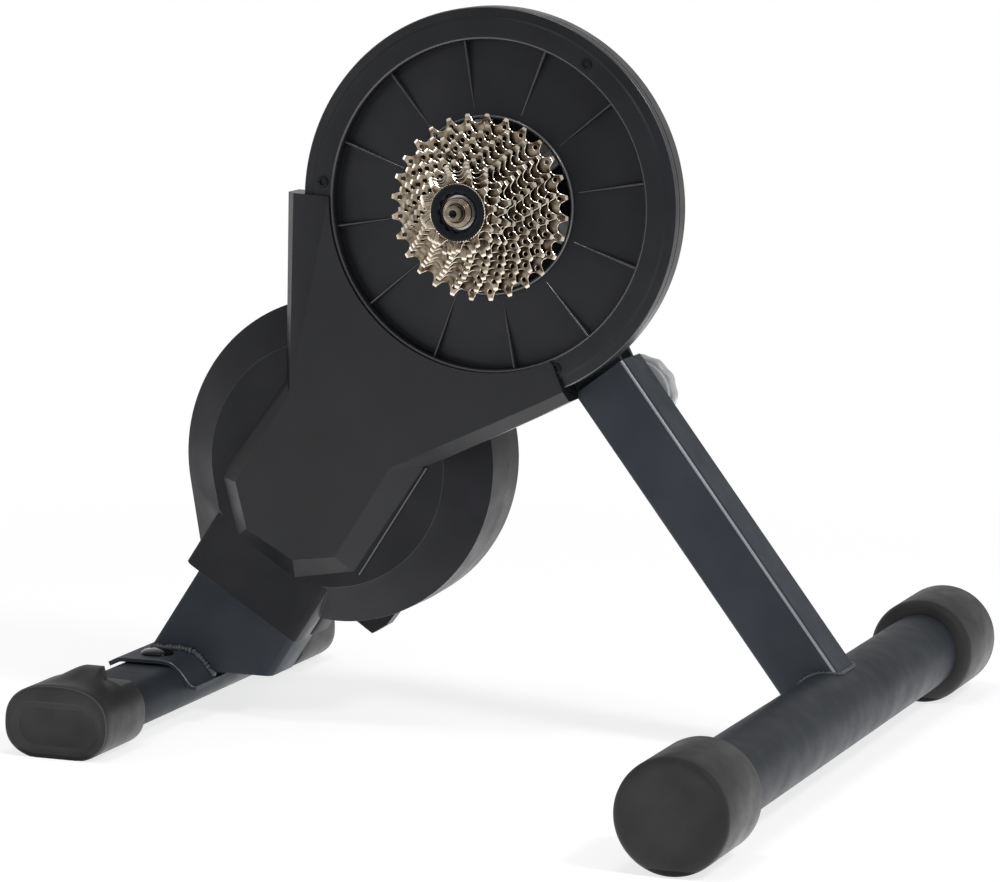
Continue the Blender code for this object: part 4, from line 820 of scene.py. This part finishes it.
# Feet
def add_front_caps():
    for name, side in (("front_cap_drive", 1), ("front_cap_far", -1)):
        low, high = node_box(name)
        radius = (high[2] - low[2]) / 2
        end = low[1] if side > 0 else high[1]
        length = high[1] - low[1]
        shape = [(radius - 14.0, 1.2), (radius - 7.0, 0.35), (radius - 3.8, 0.0),
                 (radius - 1.6, 0.9), (radius - 0.45, 2.4), (radius, 4.6), (radius, length - 5.5),
                 (radius - 0.8, length - 2.6), (radius - 2.6, length - 0.7),
                 (radius - 4.4, length), (25.7, length)]
        bm = bmesh.new()
        lathe(bm, [(r, end + side * y) for r, y in shape], node_middle(name), closed=False)
        piece("rubber_" + name, bm, MATERIALS["cap_rubber"], "front_leg", (name,))


def add_front_tube():
    """Round tube across the front."""
    low, high = node_box("front_foot_tube")
    outer = (high[2] - low[2]) / 2
    inner = outer - TUBE_WALL
    bm = bmesh.new()
    lathe(bm, [(inner, low[1]), (outer, low[1]), (outer, high[1]), (inner, high[1])],
          node_middle("front_foot_tube"), 120)
    # painted shade: the tube takes a darker copy of the frame paint
    piece("front_cross_tube", bm, FOOT_PAINT_SHADED, "front_leg", ("front_foot_tube",))


def oval_reach(angle, width, height, power):
    """Superellipse radius along an angle."""
    c = abs(math.cos(angle)) / width
    s = abs(math.sin(angle)) / height
    return (c ** power + s ** power) ** (-1 / power)


def slot_reach(angle, width, height):
    """Radius of an obround of half sizes along an angle."""
    c = abs(math.cos(angle))
    s = abs(math.sin(angle))
    flat = width - height
    if s * flat <= c * height:
        return flat * c + math.sqrt(max(height ** 2 - (flat * s) ** 2, 0.0))
    return height / s


def eased(low, high, value):
    """Smooth step from nought to one."""
    share = min(1.0, max(0.0, (value - low) / (high - low)))
    return share * share * (3 - 2 * share)


def hood_share(aside, along):
    """How far the rear cap's hood has risen: over its inner part and behind its shoulder."""
    shoulder = 17.0 - 15.0 * eased(16.0, REAR_HOOD - 2.0, along)
    across = eased(-17.0, 4.0, aside) * (1 - eased(14.5, 14.5 + shoulder, aside))
    return across * eased(6.0, 20.0, along)


def rear_cap_ring(x, y, shrink=0.0, along=0.0, top=None):
    """Outline of the rear cap; its hood rises along the cap, or is cut down to the sleeve."""
    points = []
    lift = REAR_CAP_MIDDLE + REAR_CAP_TOP + REAR_HOOD_LIFT * eased(12.0, 39.0, along)
    for i in range(REAR_CAP_STEPS):
        angle = 2 * math.pi * (i + 0.5) / REAR_CAP_STEPS
        upper = math.sin(angle) > 0
        height = REAR_CAP_TOP if upper else REAR_CAP_BOTTOM
        reach = oval_reach(angle, REAR_CAP_HALF - shrink, height - shrink, REAR_CAP_POWER)
        aside = reach * math.cos(angle)
        z = max(REAR_CAP_MIDDLE + reach * math.sin(angle), 0.0)
        if top is None:
            if upper:
                z += (lift - z) * hood_share(aside, along)
        elif z > top:
            z = top + (z - top) * 0.12
        points.append((x + aside, y, z))
    return points


def slot_ring(x, y, z, half_width, half_height, steps, phase=0.0):
    """Obround in the XZ plane."""
    points = []
    for i in range(steps):
        angle = 2 * math.pi * (i + phase) / steps
        reach = slot_reach(angle, half_width, half_height)
        points.append((x + reach * math.cos(angle), y, z + reach * math.sin(angle)))
    return points


def add_rear_caps():
    """Rubber end caps: a shallow recess in the end, a rising hood, then a low sleeve."""
    recess = ((-9.0, 3.3), (-0.6, 3.3), (0.0, 3.0), (0.3, 2.6), (2.9, 0.9), (3.3, 0.4), (3.8, 0.1))
    lip = ((2.4, 0.0), (1.0, 0.2), (0.3, 0.9), (0.0, 2.0))
    hood = (8.0, 12.0, 16.0, 20.0, 24.0, 28.0, 32.0, 35.0, 38.0, REAR_HOOD - 0.8, REAR_HOOD)
    for name, side in (("rear_cap_drive", 1), ("rear_cap_far", -1)):
        low, high = node_box(name)
        x = (low[0] + high[0]) / 2
        end = low[1] if side > 0 else high[1]
        length = high[1] - low[1]
        sleeve = ((0.0, REAR_HOOD + 0.1), (0.0, length - 2.4), (0.5, length - 0.9), (1.6, length),
                  (3.2, length))
        rings = [slot_ring(x, end + side * depth, RECESS_MIDDLE, RECESS_HALF_WIDTH + grow,
                           RECESS_HALF_HEIGHT + grow, REAR_CAP_STEPS, 0.5)
                 for grow, depth in recess]
        rings += [rear_cap_ring(x, end + side * along, shrink, along)
                  for shrink, along in lip + tuple((0.0, along) for along in hood)]
        rings += [rear_cap_ring(x, end + side * along, shrink, top=REAR_SLEEVE_TOP)
                  for shrink, along in sleeve]
        bm = bmesh.new()
        skin(bm, rings)
        made = piece("rubber_" + name, bm, MATERIALS["cap_rubber"], "frame", (name,), sharp=50.0)

        def lean(face):
            """Above nought for a slanted face of the rim, below for one of the recess."""
            if not 0.3 < -side * face.normal.y < 0.93:
                return 0.0
            place = face.center / MM
            return (place.x - x) * face.normal.x + (place.z - RECESS_MIDDLE) * face.normal.z

        # painted highlight: the slanted rim at the end takes a lighter rubber
        paint_faces(made, RUBBER_EDGE_HIGHLIGHT,
                    lambda face: lean(face) > 0 and abs(face.center.y / MM - end) < 1.6)
        # painted light: the recess walls take a lighter rubber
        paint_faces(made, RUBBER_WALL_LIT, lambda face: lean(face) < 0)


def add_rear_tube():
    """Flat-sided oval tube across the back."""
    low, high = node_box("rear_foot_tube")
    centre = node_middle("rear_foot_tube")
    wide = (high[0] - low[0]) / 2
    tall = (high[2] - low[2]) / 2
    rings = [slot_ring(centre.x, y, centre.z, wide - inset, tall - inset, 160)
             for inset, y in ((1.8, low[1]), (0.2, low[1]), (0.0, low[1] + 0.3),
                              (0.0, high[1] - 0.3), (0.2, high[1]), (1.8, high[1]))]
    bm = bmesh.new()
    skin(bm, rings, closed=True)
    # painted shade: the tube takes a darker copy of the frame paint
    piece("rear_oval_tube", bm, FOOT_PAINT_SHADED, "frame", ("rear_foot_tube",))


# Clamp knob
def add_knob():
    """Disc with a lobed rim for the fingers."""
    low, high = node_box("clamp_knob")
    radius = (high[2] - low[2]) / 2
    near = low[1]
    far = high[1]
    bm = bmesh.new()
    disc = [(6.0, near + 0.2), (12.0, near), (12.2, near + 3.0), (radius - 4.0, near + 3.2),
            (radius - 3.4, near + 4.0), (radius - 3.4, near + 6.0), (6.0, near + 6.0)]
    lathe(bm, rounded(disc, 0.4), FOLD, 96)
    piece("knob_disc", bm, KNOB_GREY, "clamp_knob", ("clamp_knob",))
    bm = bmesh.new()
    rim = [(radius - 4.5, near + 5.6), (radius - 1.6, near + 5.6), (radius - 0.1, near + 7.2),
           (radius - 0.1, far - 2.2), (radius - 2.0, far), (6.0, far - 0.2), (6.0, near + 5.6)]
    lathe(bm, rounded(rim, 0.8), FOLD, 144, lobes=12, depth=0.9)
    piece("knob_rim", bm, KNOB_GREY, "clamp_knob")


# Saddle, welds and bolts
def weld_bead(name, path, radius, body):
    """Overlapping flattened drops along a path, as a hand weld leaves them."""
    bm = bmesh.new()
    points = [Vector(point) for point in path]
    travelled = 0.0
    step = radius * 0.95
    for first, second in zip(points, points[1:]):
        run = second - first
        count = max(1, round(run.length / step))
        for i in range(count):
            centre = first + run * (i / count)
            wobble = 1.0 + 0.16 * math.sin(travelled * 1.9) + 0.08 * math.sin(travelled * 5.3)
            turn = run.to_track_quat('X', 'Z').to_matrix().to_4x4()
            shape = Matrix.Diagonal((radius * 0.72, radius * wobble, radius * wobble, 1.0))
            place = Matrix.Scale(MM, 4) @ Matrix.Translation(centre) @ turn @ shape
            bmesh.ops.create_icosphere(bm, subdivisions=2, radius=1.0, matrix=place)
            travelled += step
    piece(name, bm, WELD_COAT, body, sharp=80.0)


def add_saddle():
    """Steel strip bent over the rear tube, with the weld that holds the leg on it."""
    low, high = node_box("rear_saddle")
    line = [(x + SADDLE_MIDDLE[0], z + SADDLE_MIDDLE[1]) for x, z in SADDLE_LINE]
    bend_steps = 6
    cut = bend_steps + 1
    upper = [line[0]] + rounded(line, 4.0, bend_steps)[cut:-cut] + [line[-1]]
    lower = []
    for i, (x, z) in enumerate(upper):
        before = Vector(upper[max(i - 1, 0)])
        after = Vector(upper[min(i + 1, len(upper) - 1)])
        run = (after - before).normalized()
        lower.append((x + run.y * SADDLE_THICKNESS, z - run.x * SADDLE_THICKNESS))
    outline = upper + lower[::-1]
    inner = inset_outline(outline, SADDLE_EDGE)
    rings = [[(x, y, z) for x, z in ring] for ring, y in
             ((inner, low[1]), (outline, low[1] + SADDLE_EDGE),
              (outline, high[1] - SADDLE_EDGE), (inner, high[1]))]
    bm = bmesh.new()
    skin(bm, rings)
    bmesh.ops.triangulate(bm, faces=[face for face in bm.faces if len(face.verts) > 4])
    made = piece("bent_saddle", bm, MATERIALS["frame_paint"], "frame", ("rear_saddle",))
    # painted highlight: the saddle's slanted upward edges take a lighter paint
    paint_faces(made, PAINT_EDGE_HIGHLIGHT,
                lambda face: 0.3 < abs(face.normal.y) < 0.95 and face.normal.z > 0.0)
    path = [(x + SADDLE_MIDDLE[0], LEG_WELD_SIDE, z + SADDLE_MIDDLE[1] + LEG_WELD_LIFT)
            for x, z in LEG_WELD_LINE]
    weld_bead("leg_weld", path, LEG_WELD_RADIUS, "frame")


def inset_outline(outline, size):
    """Outline drawn in by a size along the mean of its two edge normals."""
    result = []
    count = len(outline)
    for i, point in enumerate(outline):
        run = (Vector(outline[(i + 1) % count]) - Vector(outline[i - 1])).normalized()
        result.append((point[0] + run.y * size, point[1] - run.x * size))
    return result


def add_seam_lip():
    """Raised line on the drum's face, beside the cover's lower right edge."""
    start = Vector(SEAM_START)
    end = Vector(SEAM_END)
    run = (end - start).normalized()
    section = ((1.5, -3.6), (1.5, -5.0), (1.8, -5.3), (2.3, -5.3), (2.6, -5.0), (2.6, -3.6))
    rings = [[(place.x + run.y * side, y, place.y - run.x * side) for side, y in section]
             for place in (start, end)]
    bm = bmesh.new()
    skin(bm, rings)
    piece("drum_seam_lip", bm, GLOSS_BLACK, "frame")


def add_strut_weld():
    """Bead round the strut's foot, on the cross tube."""
    low, high = node_box("front_foot_tube")
    centre = node_middle("front_foot_tube")
    radius = (high[2] - low[2]) / 2 + 0.2
    low, high = node_box("front_strut")
    half = (high[1] - low[1]) / 2 + 0.4
    down = Vector((centre.x - FOLD.x, 0.0, centre.z - FOLD.z)).normalized()
    across = Vector((-down.z, 0.0, down.x))
    path = []
    for i in range(STRUT_WELD_STEPS + 1):
        angle = 2 * math.pi * i / STRUT_WELD_STEPS
        reach = oval_reach(angle, half, half, 9.0)
        aside = reach * math.cos(angle)
        place = centre - down * math.sqrt(radius ** 2 - aside ** 2) + across * aside
        path.append((place.x, (low[1] + high[1]) / 2 + reach * math.sin(angle), place.z))
    weld_bead("strut_weld", path, STRUT_WELD_RADIUS, "front_leg")


def turned_up(bm, profile, centre):
    """Profile of (radius, z) turned about an upright axis, capped at both ends."""
    skin(bm, [[(x, y, z) for x, y in circle(radius, 40, centre.x, centre.y)]
              for radius, z in profile])


def add_saddle_bolt(bolt, nut):
    """Carriage bolt with a low polished dome, and its capped nut under the tube."""
    low, high = node_box(bolt)
    centre = node_middle(bolt)
    radius = (high[0] - low[0]) / 2 + 1.2
    bottom = low[2] + 0.5
    rim = high[2] - 3.4
    rows = [(3.9, bottom), (3.9, rim - 0.8), (radius * 0.97, rim - 0.6), (radius, rim)]
    rows += [(radius * math.cos(turn), rim + 2.9 * math.sin(turn))
             for turn in (0.2, 0.4, 0.6, 0.8, 1.0, 1.2, 1.35, 1.48)]
    bm = bmesh.new()
    turned_up(bm, rows, centre)
    piece("dome_" + bolt, bm, POLISHED_BLACK, "frame", (bolt,))
    top = node_box(nut)[1][2]
    bm = bmesh.new()
    turned_up(bm, [(7.4, top), (7.4, top - 1.4), (6.6, top - 1.6), (6.6, 1.9), (5.6, 0.8),
                   (3.0, 0.35)], centre)
    piece("cap_" + nut, bm, MATERIALS["black_steel"], "frame", (nut,))


def add_refined_solids():
    for name, width in ROUNDED_NODES:
        made = refined(name, width)
        if name == "front_strut":
            # painted highlight: the strut's near right corner faces take a pale paint
            paint_faces(made, STRUT_EDGE_HIGHLIGHT,
                        lambda face: -0.86 < face.normal.y < -0.34 and face.normal.x > 0.2)


# Floor and light
def seen_rays(tree):
    """One for camera, glossy and transmission rays, nought for the rest."""
    path = tree.nodes.new("ShaderNodeLightPath")
    share = path.outputs["Is Camera Ray"]
    for ray in ("Is Glossy Ray", "Is Transmission Ray"):
        either = node(tree, "ShaderNodeMath")
        either.operation = 'MAXIMUM'
        tree.links.new(share, either.inputs[0])
        tree.links.new(path.outputs[ray], either.inputs[1])
        share = either.outputs[0]
    return share


def mix_shaders(tree, share, first, second):
    mix = tree.nodes.new("ShaderNodeMixShader")
    tree.links.new(share, mix.inputs[0])
    tree.links.new(first, mix.inputs[1])
    tree.links.new(second, mix.inputs[2])
    return mix.outputs[0]


def add_world():
    world = bpy.data.worlds.new("studio")
    world.use_nodes = True
    tree = world.node_tree
    tree.nodes.clear()
    lit = node(tree, "ShaderNodeBackground", Color=WHITE, Strength=WORLD_LEVEL)
    seen = node(tree, "ShaderNodeBackground", Color=WHITE, Strength=1.0)
    out = tree.nodes.new("ShaderNodeOutputWorld")
    tree.links.new(mix_shaders(tree, seen_rays(tree), lit.outputs[0], seen.outputs[0]),
                   out.inputs["Surface"])
    bpy.context.scene.world = world


def add_area(name, place, size, power, target=(0.0, 0.0, 0.25)):
    data = bpy.data.lights.new(name, 'AREA')
    data.shape = 'RECTANGLE'
    data.size, data.size_y = size
    data.energy = power
    lamp = bpy.data.objects.new(name, data)
    lamp.location = place
    aim = Vector(place) - Vector(target)
    lamp.rotation_euler = aim.to_track_quat('Z', 'Y').to_euler()
    lamp.visible_camera = False
    bpy.context.scene.collection.objects.link(lamp)


def floor_material():
    """Pale floor: seen as white that still takes a soft shadow near the object."""
    mat = bpy.data.materials.new("pale_floor")
    mat.use_nodes = True
    tree = mat.node_tree
    tree.nodes.clear()
    plain = node(tree, "ShaderNodeBsdfDiffuse", Color=(0.85, 0.85, 0.85, 1.0))
    shade = node(tree, "ShaderNodeBsdfDiffuse",
                 Color=(SHADOW_SHARE, SHADOW_SHARE, SHADOW_SHARE, 1.0))
    lift = node(tree, "ShaderNodeEmission", Color=WHITE, Strength=1.0 - SHADOW_SHARE * 0.6)
    white = node(tree, "ShaderNodeEmission", Color=WHITE, Strength=1.0)
    near = tree.nodes.new("ShaderNodeAddShader")
    tree.links.new(shade.outputs[0], near.inputs[0])
    tree.links.new(lift.outputs[0], near.inputs[1])
    away = node(tree, "ShaderNodeVectorMath")
    away.operation = 'LENGTH'
    tree.links.new(object_coords(tree), away.inputs[0])
    fade = spread(tree, away.outputs["Value"], 0.0, 1.0, 0.5, 1.1)
    seen = mix_shaders(tree, fade, near.outputs[0], white.outputs[0])
    out = tree.nodes.new("ShaderNodeOutputMaterial")
    tree.links.new(mix_shaders(tree, seen_rays(tree), plain.outputs[0], seen),
                   out.inputs["Surface"])
    return mat


def add_floor():
    bm = bmesh.new()
    bmesh.ops.create_circle(bm, cap_ends=True, segments=96, radius=STAGE_RADIUS)
    mesh = bpy.data.meshes.new("floor")
    bm.to_mesh(mesh)
    bm.free()
    floor = bpy.data.objects.new("floor", mesh)
    floor.location.z = -STAGE_DROP
    mesh.materials.append(floor_material())
    bpy.context.scene.collection.objects.link(floor)


dress_cad_nodes()
add_pulley_cover()
for tooth_count, first_tooth in SPROCKETS:
    add_sprocket(tooth_count, first_tooth)
add_lock_ring()
add_axle_nut()
add_front_caps()
add_front_tube()
add_rear_caps()
add_rear_tube()
add_saddle()
add_strut_weld()
add_seam_lip()
add_knob()
for end_name in ("near", "far"):
    add_saddle_bolt("saddle_bolt_" + end_name, "saddle_nut_" + end_name)
add_refined_solids()
add_camera()
add_world()
add_floor()
for light in LIGHTS:
    add_area(*light)
bpy.context.scene.view_settings.view_transform = 'Standard'
